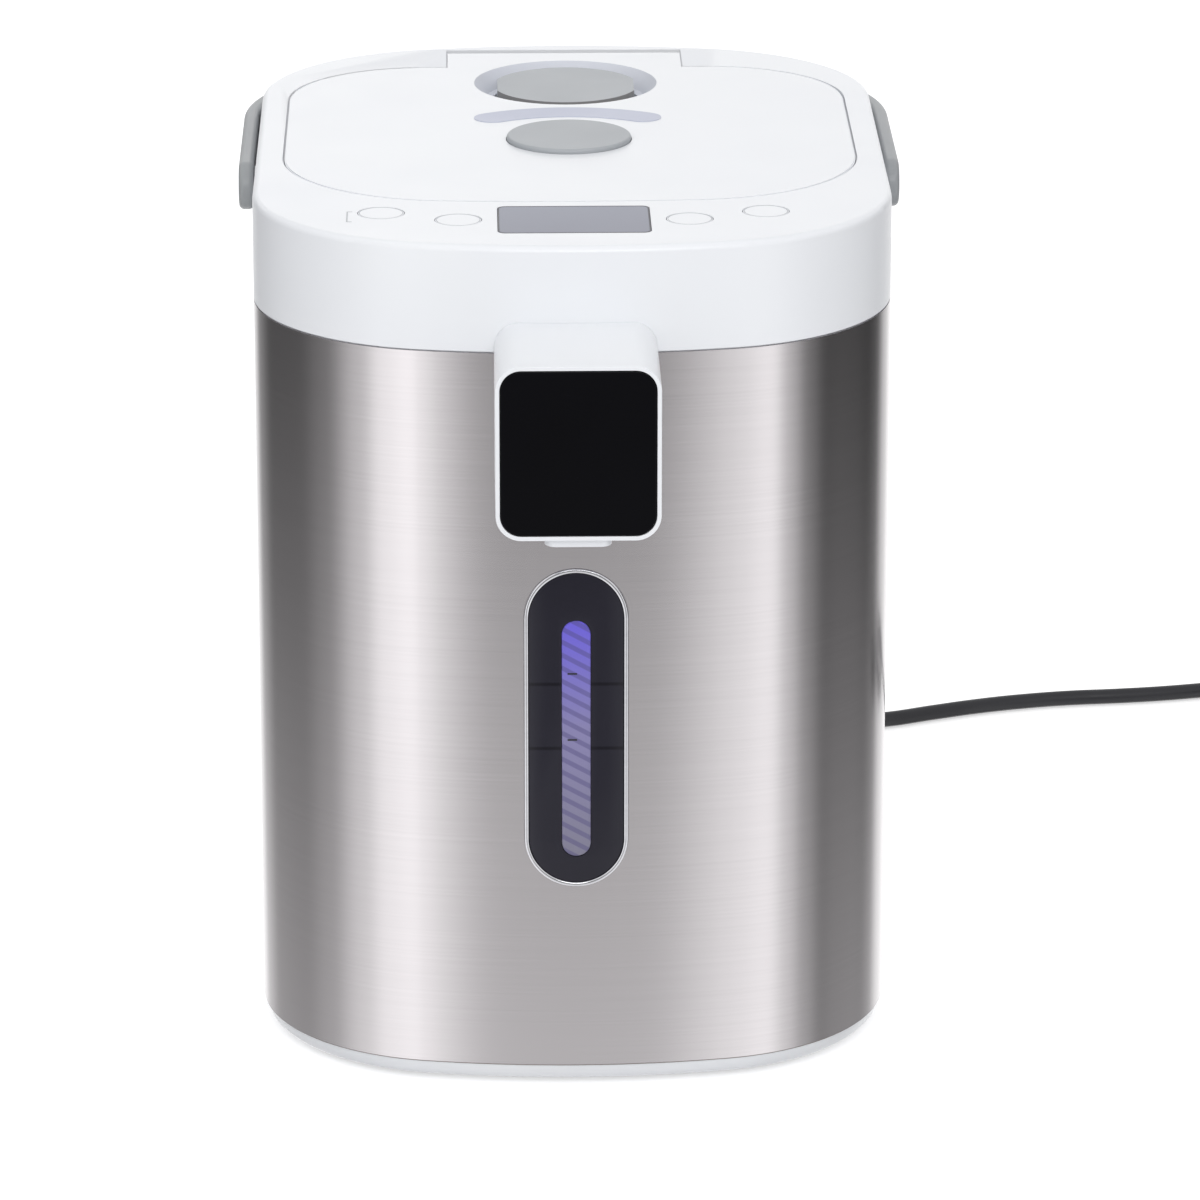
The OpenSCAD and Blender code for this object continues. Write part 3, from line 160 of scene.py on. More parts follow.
def brushed_lines():
    """Metal drawn along level lines: long streaks round the wall, fine across it."""
    tree, given, out = start_group(
        "brushed_lines",
        [("Vector", "Vector", None), ("Light", "Color", (0.7, 0.7, 0.7, 1)),
         ("Dark", "Color", (0.5, 0.5, 0.5, 1)), ("Lines", "Float", 1600.0), ("Reach", "Float", 9.0),
         ("Roughness Low", "Float", 0.2), ("Roughness High", "Float", 0.35)],
        [("Colour", "Color"), ("Roughness", "Float"), ("Height", "Float")])
    along, across = given["Reach"], given["Lines"]
    stretch = put(tree, "CombineXYZ", [("X", along), ("Y", along), ("Z", across)])
    fine_lie = put(tree, "VectorMath", [(0, given["Vector"]), (1, stretch.outputs[0])],
                   operation="MULTIPLY")
    fine = put(tree, "TexNoise", [("Vector", fine_lie.outputs[0]), ("Scale", 1.0), ("Detail", 4.0),
                                  ("Roughness", 0.6)])
    coarse_lie = put(tree, "VectorMath", [(0, fine_lie.outputs[0]), (1, (0.45, 0.45, 0.22))],
                     operation="MULTIPLY")
    coarse = put(tree, "TexNoise", [("Vector", coarse_lie.outputs[0]), ("Scale", 1.0), ("Detail", 3.0)])
    both = work_out(tree, "MULTIPLY_ADD", coarse.outputs["Fac"], 0.3, fine.outputs["Fac"])
    tone = remap(tree, both, 0.4, 0.9)
    gloss = remap(tree, both, 0.4, 0.9, given["Roughness Low"], given["Roughness High"])
    tree.links.new(blend(tree, tone, given["Dark"], given["Light"]), out["Colour"])
    tree.links.new(gloss, out["Roughness"])
    tree.links.new(fine.outputs["Fac"], out["Height"])
    return tree


SKIN = moulded_skin()
BRUSH = brushed_lines()


def start_finish(name, **shader):
    """A material with one Principled shader; plain values go on its own sockets."""
    made = bpy.data.materials.new(name)
    made.use_nodes = True
    tree = made.node_tree
    shiny = tree.nodes["Principled BSDF"]
    for label, value in shader.items():
        shiny.inputs[label.replace("_", " ")].default_value = value
    where = put(tree, "TexCoord").outputs["Object"]
    return made, tree, shiny, where


def wire_up(tree, shiny, colour, group, depth):
    """Feeds a colour, and a group's roughness and relief, to the shader."""
    relief = 0.0001  # in metres, at full strength
    tree.links.new(colour, shiny.inputs["Base Color"])
    tree.links.new(group.outputs["Roughness"], shiny.inputs["Roughness"])
    bump = put(tree, "Bump", [("Strength", depth), ("Distance", relief),
                              ("Height", group.outputs["Height"])])
    tree.links.new(bump.outputs["Normal"], shiny.inputs["Normal"])


def grow_skin(tree, where, colour, drift, low, high, grain=900.0):
    """Adds the moulded group between two screen colours and two roughnesses."""
    wires = [("Vector", where), ("Colour", shade(*colour)), ("Drift", shade(*drift)),
             ("Grain Scale", grain), ("Roughness Low", low), ("Roughness High", high)]
    return put(tree, "Group", wires, node_tree=SKIN)


def plastic(name, colour, drift, low, high, grain=900.0, depth=0.1, **shader):
    """Moulded finish; depth is the strength of its grain."""
    made, tree, shiny, where = start_finish(name, **shader)
    skin = grow_skin(tree, where, colour, drift, low, high, grain)
    wire_up(tree, shiny, skin.outputs["Colour"], skin, depth)
    return made


def drawn_metal(name, light, dark, low, high, lines=1600.0, reach=9.0, depth=0.1, **shader):
    """Brushed finish; lines and reach are how fine its streaks are across and along."""
    made, tree, shiny, where = start_finish(name, Metallic=1.0, **shader)
    wires = [("Vector", where), ("Light", shade(*light)), ("Dark", shade(*dark)), ("Lines", lines),
             ("Reach", reach), ("Roughness Low", low), ("Roughness High", high)]
    brush = put(tree, "Group", wires, node_tree=BRUSH)
    wire_up(tree, shiny, brush.outputs["Colour"], brush, depth)
    return made


def glass_over_display():
    """Lilac grey screen that is a little paler towards the lid, a painted sheen, under smooth gloss."""
    front, back = -0.107, -0.071  # the screen's edges in the frame, in metres
    made, tree, shiny, where = start_finish("display_lens", Specular_IOR_Level=0.06)
    part = put(tree, "SeparateXYZ", [(0, where)])
    skin = grow_skin(tree, where, (144, 146, 158), (142, 144, 156), 0.16, 0.22)
    # painted sheen: the screen's colour turns paler towards the lid
    deep = remap(tree, part.outputs["Y"], front, back)
    wire_up(tree, shiny, blend(tree, deep, skin.outputs["Colour"], shade(150, 153, 165)), skin, 0.02)
    return made


def tinted_window():
    """Smoky panel with two faint level lines across it."""
    level_lines = (0.1548, 0.1306)  # heights in metres
    made, tree, shiny, where = start_finish("tinted_window", Specular_IOR_Level=0.2)
    full, gone, darkest = 0.0003, 0.0009, 0.7  # where a line is full and where it ends, and its share
    skin = grow_skin(tree, where, (44, 43, 52), (40, 39, 48), 0.10, 0.16)
    part = put(tree, "SeparateXYZ", [(0, where)])
    colour = skin.outputs["Colour"]
    for height in level_lines:
        away = work_out(tree, "ABSOLUTE", work_out(tree, "SUBTRACT", part.outputs["Z"], height))
        colour = blend(tree, remap(tree, away, full, gone, darkest, 0.0), colour, shade(20, 19, 25))
    wire_up(tree, shiny, colour, skin, 0.01)
    return made


def lit_strip():
    """Level strip: violet at the top, lilac grey below, with slanted darker stripes."""
    foot, head = 0.0895, 0.1785  # the strip's ends above the table, in metres
    stripe_pitch, stripe_slope = 0.0049, 0.55
    made, tree, shiny, where = start_finish("gauge_strip", Roughness=0.32, Specular_IOR_Level=0.3)
    part = put(tree, "SeparateXYZ", [(0, where)])
    tint = put(tree, "ValToRGB", [("Fac", remap(tree, part.outputs["Z"], foot, head))])
    ramp = tint.color_ramp.elements
    ramp[0].position, ramp[0].color = 0.0, shade(132, 130, 148)
    ramp[1].position, ramp[1].color = 1.0, shade(112, 100, 222)
    ramp.new(0.55).color = shade(138, 133, 178)
    slant = work_out(tree, "MULTIPLY_ADD", part.outputs["X"], stripe_slope, part.outputs["Z"])
    wave = work_out(tree, "SINE", work_out(tree, "MULTIPLY", slant, 2 * math.pi / stripe_pitch))
    stripe = remap(tree, wave, 0.1, 0.5, 0.0, 0.5)
    striped = blend(tree, stripe, tint.outputs["Color"], shade(84, 78, 128))
    tree.links.new(striped, shiny.inputs["Base Color"])
    return made


# ---------------------------------------------------------------- finishes
# name, two screen colours that it drifts between, and its lowest and highest roughness
finishes = {
    "steel": drawn_metal("brushed_steel_wall", (210, 206, 208), (205, 201, 203), 0.185, 0.195,
                         lines=1500.0, depth=0.008, Anisotropic=0.4, Anisotropic_Rotation=0.25),
    "white_shell": plastic("white_gloss_shell", (240, 242, 245), (238, 240, 244), 0.28, 0.33,
                           depth=0.03, Coat_Weight=0.15, Coat_Roughness=0.15),
    "grey_trim": plastic("grey_satin_trim", (171, 175, 179), (167, 171, 175), 0.36, 0.42, depth=0.08),
    "black_panel": plastic("black_gloss_panel", (9, 9, 13), (6, 6, 9), 0.06, 0.10, depth=0.01,
                           Specular_IOR_Level=0.12),
    "display_glass": glass_over_display(),
    "window_tint": tinted_window(),
    "strip_light": lit_strip(),
    "bright_trim": drawn_metal("polished_trim", (226, 226, 230), (214, 214, 219), 0.10, 0.16,
                               lines=400.0),
    "pot_steel": drawn_metal("satin_pot_steel", (238, 238, 240), (228, 228, 230), 0.42, 0.55),
    "inner_plastic": plastic("natural_inner_plastic", (216, 218, 220), (208, 210, 212), 0.42, 0.55),
    "dark_plastic": plastic("dark_matt_plastic", (42, 42, 45), (36, 36, 39), 0.42, 0.55, depth=0.15),
    "silicone": plastic("silicone_seal", (205, 205, 200), (196, 196, 190), 0.5, 0.6, depth=0.15),
    "foot_rubber": plastic("foot_rubber", (72, 72, 74), (64, 64, 66), 0.6, 0.75, grain=500.0,
                           depth=0.3),
    "clear_tube": plastic("clear_gauge_tube", (225, 232, 238), (220, 228, 235), 0.05, 0.1,
                          depth=0.02, Transmission_Weight=0.85, IOR=1.45),
    "metal_small": drawn_metal("plated_hardware", (200, 200, 202), (178, 178, 180), 0.22, 0.32,
                               lines=900.0),
    "cast_heater": drawn_metal("cast_heater_plate", (176, 176, 178), (158, 158, 160), 0.45, 0.6,
                               lines=120.0, reach=60.0),
    "board": plastic("circuit_board", (36, 98, 62), (30, 88, 55), 0.3, 0.4, depth=0.1),
    "pale_band": plastic("pale_lilac_band", (196, 200, 217), (192, 196, 213), 0.34, 0.42, depth=0.06),
    "cord_black": plastic("cord_jacket", (34, 34, 40), (29, 29, 34), 0.36, 0.48, grain=700.0,
                          depth=0.2),
}
handle_grey = plastic("handle_satin_grey", (157, 160, 162), (152, 155, 158), 0.34, 0.40, depth=0.08)
# painted shade: the lever's upright front edge is coloured darker than its top
lever_painted_shade = plastic("lever_front_edge", (134, 133, 132), (128, 127, 127), 0.4, 0.5, depth=0.08)
# painted shade: the sunk dish is coloured darker and bluer than the lid round it
dish_painted_shade = plastic("dish_shade", (222, 225, 233), (219, 222, 231), 0.3, 0.36, depth=0.03)
# a seal lip in the lid's gap whose grey tone is painted shade for the seam
seam_lip_painted_shade = plastic("lid_seam_lip", (206, 207, 210), (200, 201, 205), 0.5, 0.6, depth=0.05)
hem_dark = plastic("dark_hem", (124, 112, 104), (114, 104, 98), 0.5, 0.6)
print_grey = plastic("printed_grey", (196, 198, 202), (190, 192, 196), 0.45, 0.55, depth=0.02)
print_dark = plastic("printed_dark", (70, 70, 78), (64, 64, 72), 0.35, 0.45, depth=0.02)
node_slot = {row["node"]: row["material_slot"] for row in frame["record"]["subparts"]}
for node, slot in node_slot.items():
    mesh = nodes[node].data
    mesh.materials.clear()
    mesh.materials.append(finishes[slot])


# ---------------------------------------------------------------- pieces
def into_frame(bm):
    """From millimetres about the pot's own middle to metres in the frame."""
    bmesh.ops.scale(bm, verts=bm.verts, vec=(MM, MM, MM))
    bmesh.ops.translate(bm, verts=bm.verts, vec=(0, BACK * MM, 0))


def place(bm, name, slot, coat=None, body="housing", stands_for=(), smooth=35.0):
    """Turns a bmesh in millimetres, about the pot's own middle, into a finished piece."""
    into_frame(bm)
    return settle(bm, name, body, [coat or finishes[slot]], stands_for, smooth)


def settle(bm, name, body, coats, stands_for, smooth):
    """Turns a bmesh in metres into a finished piece; turns up to smooth degrees look round."""
    mesh = bpy.data.meshes.new(name)
    bm.to_mesh(mesh)
    bm.free()
    for polygon in mesh.polygons:
        polygon.use_smooth = True
    mesh.set_sharp_from_angle(angle=math.radians(smooth))
    for coat in coats:
        mesh.materials.append(coat)
    piece = link(bpy.data.objects.new(name, mesh))
    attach(piece, body)
    if stands_for:
        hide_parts(*stands_for)
    return piece


def body_of_node(node):
    for body, members in frame["record"]["behaviour"]["bodies"].items():
        if node in members:
            return body


# ---------------------------------------------------------------- outlines
def verts_in(geom):
    return [item for item in geom if isinstance(item, bmesh.types.BMVert)]


def swing(bm, start, middle, degrees, steps):
    """Spins one vertex about an upright line and gives back the arc's new end."""
    turned = bmesh.ops.spin(bm, geom=[start], cent=(middle[0], middle[1], start.co.z), axis=(0, 0, 1),
                            angle=math.radians(degrees), steps=steps, use_merge=False)
    return verts_in(turned["geom_last"])[0]


def draw_edge(bm, start, vec):
    """Draws a straight edge from one vertex and gives back its new end."""
    end = bmesh.ops.extrude_vert_indiv(bm, verts=[start])["verts"]
    bmesh.ops.translate(bm, verts=end, vec=vec)
    return end[0]


def verts_since(bm, known):
    return [v for v in bm.verts if v not in known]


def edges_since(bm, known):
    return [e for e in bm.edges if e.verts[0] not in known]


def mirror_in(bm, known, axis):
    """Mirrors what was drawn since the known vertices, and joins both halves."""
    drawn = verts_since(bm, known) + edges_since(bm, known)
    copied = bmesh.ops.duplicate(bm, geom=drawn)["geom"]
    bmesh.ops.scale(bm, verts=verts_in(copied), vec=(-1, 1, 1) if axis == "X" else (1, -1, 1))
    bmesh.ops.remove_doubles(bm, verts=verts_since(bm, known), dist=1e-4)


def body_outline(bm, height, grow=0.0):
    """Closed outline of the pot's body: bowed front and back, straight sides, round corners."""
    known = set(bm.verts)
    corner_x = BODY_HALF_WIDE - BODY_CORNER
    reach = BODY_BOW - BODY_CORNER  # from the bow's middle to the corner's middle
    bow_y = BODY_BOW - BODY_HALF_DEEP
    corner_y = bow_y - math.sqrt(reach ** 2 - corner_x ** 2)
    turn = math.degrees(math.asin(corner_x / reach))
    v = bm.verts.new((0, -BODY_HALF_DEEP - grow, height))
    v = swing(bm, v, (0, bow_y), turn, 8)
    v = swing(bm, v, (corner_x, corner_y), 90 - turn, 24)
    draw_edge(bm, v, (0, -corner_y, 0))
    mirror_in(bm, known, "Y")
    mirror_in(bm, known, "X")
    return edges_since(bm, known)


def lid_outline(bm, height, grow=0.0):
    """Closed outline of the lid: bowed front, straight back, round corners."""
    known = set(bm.verts)
    # from the bow's middle to the corner's middle, in the ratio 60 : 899 : 901
    across, deep, reach = 42.0, 629.3, 630.7
    bow_y = reach + LID_FRONT_CORNER - LID_FRONT
    corner_y = bow_y - deep
    back_x, back_y = LID_HALF_WIDE - LID_BACK_CORNER, LID_BACK - LID_BACK_CORNER
    turn = math.degrees(math.asin(across / reach))
    v = bm.verts.new((0, -LID_FRONT - grow, height))
    v = swing(bm, v, (0, bow_y), turn, 10)
    v = swing(bm, v, (across, corner_y), 90 - turn, 24)
    v = draw_edge(bm, v, (0, back_y - corner_y, 0))
    v = swing(bm, v, (back_x, back_y), 90, 24)
    draw_edge(bm, v, (-back_x, 0, 0))
    mirror_in(bm, known, "X")
    return edges_since(bm, known)


def rounded_outline(bm, wide, deep, radius, centre, height, steps=8):
    """Closed rounded rectangle, flat at one height."""
    known = set(bm.verts)
    x, y = wide / 2 - radius, deep / 2 - radius
    v = draw_edge(bm, bm.verts.new((0, -deep / 2, height)), (x, 0, 0))
    v = swing(bm, v, (x, -y), 90, steps)
    draw_edge(bm, v, (0, y, 0))
    mirror_in(bm, known, "Y")
    mirror_in(bm, known, "X")
    bmesh.ops.translate(bm, verts=verts_since(bm, known), vec=(centre[0], centre[1], 0))
    return edges_since(bm, known)


def stadium(bm, wide, tall, height, steps):
    """Closed outline with half-round ends, drawn flat about the origin."""
    return rounded_outline(bm, wide, tall, wide / 2, (0, 0), height, steps)


def round_outline(bm, radius, centre, height, steps=48):
    known = set(bm.verts)
    bmesh.ops.create_circle(bm, segments=steps, radius=radius,
                            matrix=Matrix.Translation((centre[0], centre[1], height)))
    return edges_since(bm, known)


# ---------------------------------------------------------------- solids
def face_out(bm):
    bmesh.ops.recalc_face_normals(bm, faces=bm.faces)


def cap_over(bm, edges):
    return bmesh.ops.contextual_create(bm, geom=edges)["faces"]


def slab(bm, edges, height):
    """Closed plate from an outline; gives back its top edges."""
    lifted = bmesh.ops.extrude_edge_only(bm, edges=edges)["geom"]
    bmesh.ops.translate(bm, verts=verts_in(lifted), vec=(0, 0, height))
    top = [item for item in lifted if isinstance(item, bmesh.types.BMEdge)]
    cap_over(bm, edges)
    cap_over(bm, top)
    face_out(bm)
    return top


def hollow_slab(bm, edges, width, height):
    """Closed ring of one width inside an outline; gives back its top edges."""
    middle = cap_over(bm, edges)
    ring = bmesh.ops.inset_individual(bm, faces=middle, thickness=width, use_even_offset=True)["faces"]
    bmesh.ops.delete(bm, geom=middle, context="FACES_ONLY")
    lifted = bmesh.ops.extrude_face_region(bm, geom=ring, use_keep_orig=True)["geom"]
    bmesh.ops.translate(bm, verts=verts_in(lifted), vec=(0, 0, height))
    top = {item for item in lifted if isinstance(item, bmesh.types.BMFace)}
    face_out(bm)
    return [e for e in bm.edges
            if len(e.link_faces) == 2 and (e.link_faces[0] in top) != (e.link_faces[1] in top)]


def round_over(bm, edges, offset, segments=3):
    bmesh.ops.bevel(bm, geom=[e for e in edges if e.is_valid], offset=offset, offset_type="OFFSET",
                    segments=segments, profile=0.5, affect="EDGES", clamp_overlap=True, material=-1)


def corners_of(bm, angle):
    """Every edge that turns more than an angle in degrees."""
    least = math.radians(angle)
    return [e for e in bm.edges if len(e.link_faces) == 2 and e.calc_face_angle(0) > least]


def stand_up(bm, centre_z, front):
    """Turns a flat piece so that its top faces the front, at the given height and depth."""
    bmesh.ops.rotate(bm, verts=bm.verts, cent=(0, 0, 0), matrix=Matrix.Rotation(math.pi / 2, 3, "X"))
    bmesh.ops.translate(bm, verts=bm.verts, vec=(0, front, centre_z))


def cut_out(piece, cutter_bm):
    """Takes a cutter in millimetres about the pot's middle out of a piece for good."""
    into_frame(cutter_bm)
    face_out(cutter_bm)
    mesh = bpy.data.meshes.new("cutter")
    cutter_bm.to_mesh(mesh)
    cutter_bm.free()
    tool = link(bpy.data.objects.new("cutter", mesh))
    cut = piece.modifiers.new("cut", "BOOLEAN")
    cut.operation = "DIFFERENCE"
    cut.solver = "EXACT"
    cut.object = tool
    bpy.context.view_layer.update()
    held = piece.evaluated_get(bpy.context.evaluated_depsgraph_get())
    made = bpy.data.meshes.new_from_object(held)
    piece.modifiers.clear()
    old = piece.data
    piece.data = made
    made.name = old.name
    bpy.data.meshes.remove(old)
    bpy.data.objects.remove(tool)
    bpy.data.meshes.remove(mesh)


def cutter(outline, *sizes, middle, front, **more):
    """A deep upright cutter of one outline through the wall at a height and depth."""
    depth = 20
    bm = bmesh.new()
    slab(bm, outline(bm, *sizes, height=-depth / 2, **more), depth)
    stand_up(bm, middle, front)
    return bm


def dress_node(node, offset=0.0, coats=None, sort_faces=None):
    """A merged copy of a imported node's mesh, with its flat faces joined and its edges softened."""
    weld = 2e-6  # metres
    flat, corner, smooth = 0.25, 40, 35.0  # degrees
    bm = bmesh.new()
    bm.from_mesh(nodes[node].data)
    bmesh.ops.remove_doubles(bm, verts=bm.verts, dist=weld)
    bmesh.ops.dissolve_limit(bm, angle_limit=math.radians(flat), verts=bm.verts, edges=bm.edges)
    if offset:
        round_over(bm, corners_of(bm, corner), offset * MM, 2)
    if sort_faces:
        for face in bm.faces:
            face.material_index = sort_faces(face)
    slot = node_slot[node]
    coats = coats or [finishes[slot]]
    piece = settle(bm, node + "_dressed", body_of_node(node), coats, (node,), smooth)
    lean = piece.modifiers.new("lean", "WEIGHTED_NORMAL")
    lean.mode = "FACE_AREA"
    lean.keep_sharp = True


# ---------------------------------------------------------------- mains lead
def ease(t):
    return t * t * (3 - 2 * t)


def coil_turn(turned):
    """Radius and height of the coil after so many degrees: in and round, up and round, then out."""
    inner, outer, low, high = 31.6, 38.15, 3.3, 9.75
    up_from, out_from, shift = 380, 740, 60  # degrees; shift is how long each change takes
    step_in = 1 - ease(min(turned / shift, 1))
    step_out = ease(min(max((turned - out_from) / shift, 0), 1))
    climb = ease(min(max((turned - up_from) / shift, 0), 1))
    return inner + (outer - inner) * (step_in + step_out), low + (high - low) * climb


def lay_lead():
    """The mains lead from the inlet's boot, over the table, round its tied coil and into the plug."""
    lead = [(0, 224, 42), (1, 232, 40), (5, 242, 33), (14, 251, 21), (28, 257, 11), (46, 260, 5),
            (68, 261, 3.4), (92, 263, 3.3), (114, 266, 3.3), (136, 270, 3.3), (155, 278, 3.3),
            (175, 286, 3.3), (195, 292, 3.3), (215, 296, 3.3), (234, 298, 3.3), (254, 301, 3.3),
            (272, 305, 3.3), (290, 309, 3.3), (306, 311, 3.3)]
    coil_x, coil_y = 330, 272.8
    coil = []
    for turned in range(0, 1121, 20):  # clockwise from the coil's far side
        radius, height = coil_turn(turned)
        bearing = math.radians(90 - turned)
        coil.append((coil_x + radius * math.cos(bearing), coil_y + radius * math.sin(bearing),
                     height))
    tail = [(368.2, 264.8, 8.6), (368.1, 254.8, 6.4), (367.4, 244.2, 4.2), (366.2, 233.0, 3.4)]
    route = lead + coil + tail
    diameter = 6.3
    curve = bpy.data.curves.new("mains_lead", "CURVE")
    curve.dimensions = "3D"
    curve.bevel_depth = diameter / 2 * MM
    curve.bevel_resolution = 5
    curve.resolution_u = 4
    curve.use_fill_caps = True
    spline = curve.splines.new("BEZIER")
    spline.bezier_points.add(len(route) - 1)
    for point, (x, y, z) in zip(spline.bezier_points, route):
        point.co = (x * MM, y * MM, z * MM)
        point.handle_left_type = point.handle_right_type = "AUTO"
    piece = link(bpy.data.objects.new("mains_lead", curve))
    curve.materials.append(finishes["cord_black"])
    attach(piece, "housing")
    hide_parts("cord", "cord_coil", "cord_tail")


# ---------------------------------------------------------------- steel wall
def steel_wall():
    bm = bmesh.new()
    hollow_slab(bm, body_outline(bm, WALL_FOOT), WALL_THICK, WALL_TALL)
    wall = place(bm, "steel_wall", "steel", stands_for=("body_shell",), smooth=30)
    window_corner = 18.65
    cut_out(wall, cutter(rounded_outline, WINDOW_WIDE + FIT, WINDOW_TALL + FIT, window_corner, (0, 0),
                         steps=20, middle=WINDOW_MIDDLE, front=-BODY_HALF_DEEP))
    cut_out(wall, cutter(rounded_outline, INLET_HOLE_WIDE, INLET_HOLE_TALL, INLET_HOLE_CORNER, (0, 0),
                         middle=INLET_MIDDLE, front=BODY_HALF_DEEP))


def steel_hem():
    """Thin dark strip that shows between the steel and the base."""
    bm = bmesh.new()
    hollow_slab(bm, body_outline(bm, WALL_FOOT - 0.45, grow=-0.5), 0.65, 0.4)
    place(bm, "steel_hem", "dark_plastic", hem_dark)


# ---------------------------------------------------------------- level window
def window_frame():
    thick, proud = 3.0, 0.6
    bm = bmesh.new()
    rims = hollow_slab(bm, stadium(bm, WINDOW_WIDE, WINDOW_TALL, -thick, 24), WINDOW_RIM, thick)
    round_over(bm, rims, 0.55, 4)
    stand_up(bm, WINDOW_MIDDLE, -BODY_HALF_DEEP - proud)
    place(bm, "window_frame_ring", "bright_trim", stands_for=("window_frame",))


def window_panel():
    thick, proud = 1.6, 0.1
    inset = 2 * WINDOW_RIM + FIT
    bm = bmesh.new()
    rims = slab(bm, stadium(bm, WINDOW_WIDE - inset, WINDOW_TALL - inset, -thick, 24), thick)
    round_over(bm, rims, 0.25, 2)
    stand_up(bm, WINDOW_MIDDLE, -BODY_HALF_DEEP - proud)
    panel = place(bm, "window_tinted_panel", "window_tint", stands_for=("window_panel",))
    cut_out(panel, cutter(stadium, STRIP_WIDE + FIT, STRIP_TALL + FIT, steps=20,
                          middle=STRIP_MIDDLE, front=-BODY_HALF_DEEP))


def gauge_strip():
    thick, sunk = 1.4, 0.1
    bm = bmesh.new()
    round_over(bm, slab(bm, stadium(bm, STRIP_WIDE, STRIP_TALL, -thick, 20), thick), 0.3)
    stand_up(bm, STRIP_MIDDLE, -BODY_HALF_DEEP + sunk)
    place(bm, "gauge_strip", "strip_light", stands_for=("level_strip",))


def gauge_ticks():
    left, sunk, size = -1.4, 0.05, (3.4, 0.16, 0.6, 1)
    bm = bmesh.new()
    for height in (158.6, 133.7):
        spot = Matrix.Translation((left, -BODY_HALF_DEEP + sunk, height))
        bmesh.ops.create_cube(bm, size=1, matrix=spot @ Matrix.Diagonal(size))
    round_over(bm, corners_of(bm, 60), 0.04, 1)
    place(bm, "gauge_ticks", "dark_plastic")


# ---------------------------------------------------------------- controls
def node_middle(node):
    """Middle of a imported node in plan, in millimetres about the pot's own middle."""
    xs = [v.co.x for v in nodes[node].data.vertices]
    ys = [v.co.y for v in nodes[node].data.vertices]
    return (min(xs) + max(xs)) / 2 / MM, (min(ys) + max(ys)) / 2 / MM - BACK


def control_prints():
    """Thin prints: a ring on each button, a frame round the screen, a bracket by one button."""
    for node in ("button_reboil", "button_temperature", "button_unlock", "button_dispense"):
        bm = bmesh.new()
        hollow_slab(bm, round_outline(bm, 7.9, node_middle(node), TOP), 0.3, PRINT_THICK)
        place(bm, node + "_ring", "grey_trim", print_grey, body=body_of_node(node))
    bm = bmesh.new()
    screen = node_middle("display_lens")
    hollow_slab(bm, rounded_outline(bm, 54.0, 36.6, 2.9, screen, TOP), 0.55, PRINT_THICK)
    place(bm, "screen_outline", "dark_plastic", print_dark)
    bm = bmesh.new()
    bars = ((-80.4, -108, 0.5, 14), (-79.5, -101.2, 1.8, 0.5), (-79.5, -114.8, 1.8, 0.5))
    for x, y, wide, deep in bars:
        slab(bm, rounded_outline(bm, wide, deep, 0.2, (x, y), TOP, steps=2), PRINT_THICK)
    place(bm, "button_bracket", "grey_trim", print_grey)


# ---------------------------------------------------------------- lid seam
def seam_lip():
    """Pale lip that closes the gap round the lid below its top, with a break for the tongue; its grey
    is painted shade for the seam.
    """
    bm = bmesh.new()
    hollow_slab(bm, lid_outline(bm, LIP_FOOT, grow=0.62), 0.46, 2.4)
    lip = place(bm, "lid_seam_lip", "white_shell", seam_lip_painted_shade)
    breach = bmesh.new()
    slab(breach, rounded_outline(breach, 92.4, 10, 0.5, (0, LID_BACK), 300, steps=2), 20)
    cut_out(lip, breach)


def tongue_lip():
    """The same lip beside the hinge tongue and behind it, with the same painted seam shade."""
    bm = bmesh.new()
    for side in (-1, 1):
        slab(bm, rounded_outline(bm, 0.36, 26.5, 0.1, (side * 45.31, 127.2), LIP_FOOT, steps=2), 3.2)
    slab(bm, rounded_outline(bm, 90.9, 0.4, 0.1, (0, 140.36), LIP_FOOT - 2.5, steps=2), 4.6)
    place(bm, "tongue_seam_lip", "white_shell", seam_lip_painted_shade)


lay_lead()
steel_wall()
steel_hem()
window_frame()
window_panel()
gauge_strip()
gauge_ticks()
control_prints()
seam_lip()
tongue_lip()


# ---------------------------------------------------------------- moulded pieces
def lever_shade_faces(face):
    """The lever's upright front edge is the darker of its two coats: painted shade for that face."""
    upright = abs(face.normal.z) < 0.5
    return 1 if upright and face.calc_center_median().y < (LEVER_MIDDLE + BACK) * MM else 0


def dish_shade_faces(face):
    """The lid's sunk dish has its own coat, a darker lilac grey that is painted shade for the recess.
    """
    x, y, z = face.calc_center_median() / MM
    within = math.hypot(x, y - BACK - DISH_MIDDLE) < DISH_RADIUS
    return 1 if within and z < TOP - 0.1 and face.normal.z > 0.1 else 0


edge_rounding = {
    "collar": 0, "base_housing": 0, "spout_shell": 0.45, "spout_face": 0.5, "nozzle": 0.4,
    "steam_cap": 0.25, "display_lens": 0.25, "button_reboil": 0.2, "button_temperature": 0.2,
    "button_unlock": 0.2, "button_dispense": 0.2, "rubber_feet": 0, "power_inlet": 0.3,
    "inlet_connector": 0.5, "cord_relief": 0.3, "cord_plug": 0.5, "cord_tie": 0.2, "inner_lid": 0.2,
    "latch_left": 0.2, "latch_right": 0.2,
}
for node, rounding in edge_rounding.items():
    dress_node(node, rounding)
dress_node("lid_cover", 0.25, [finishes["white_shell"], dish_painted_shade], dish_shade_faces)
dress_node("handle", 0.3, [handle_grey])
dress_node("lid_lever", 0.4, [finishes["grey_trim"], lever_painted_shade], lever_shade_faces)


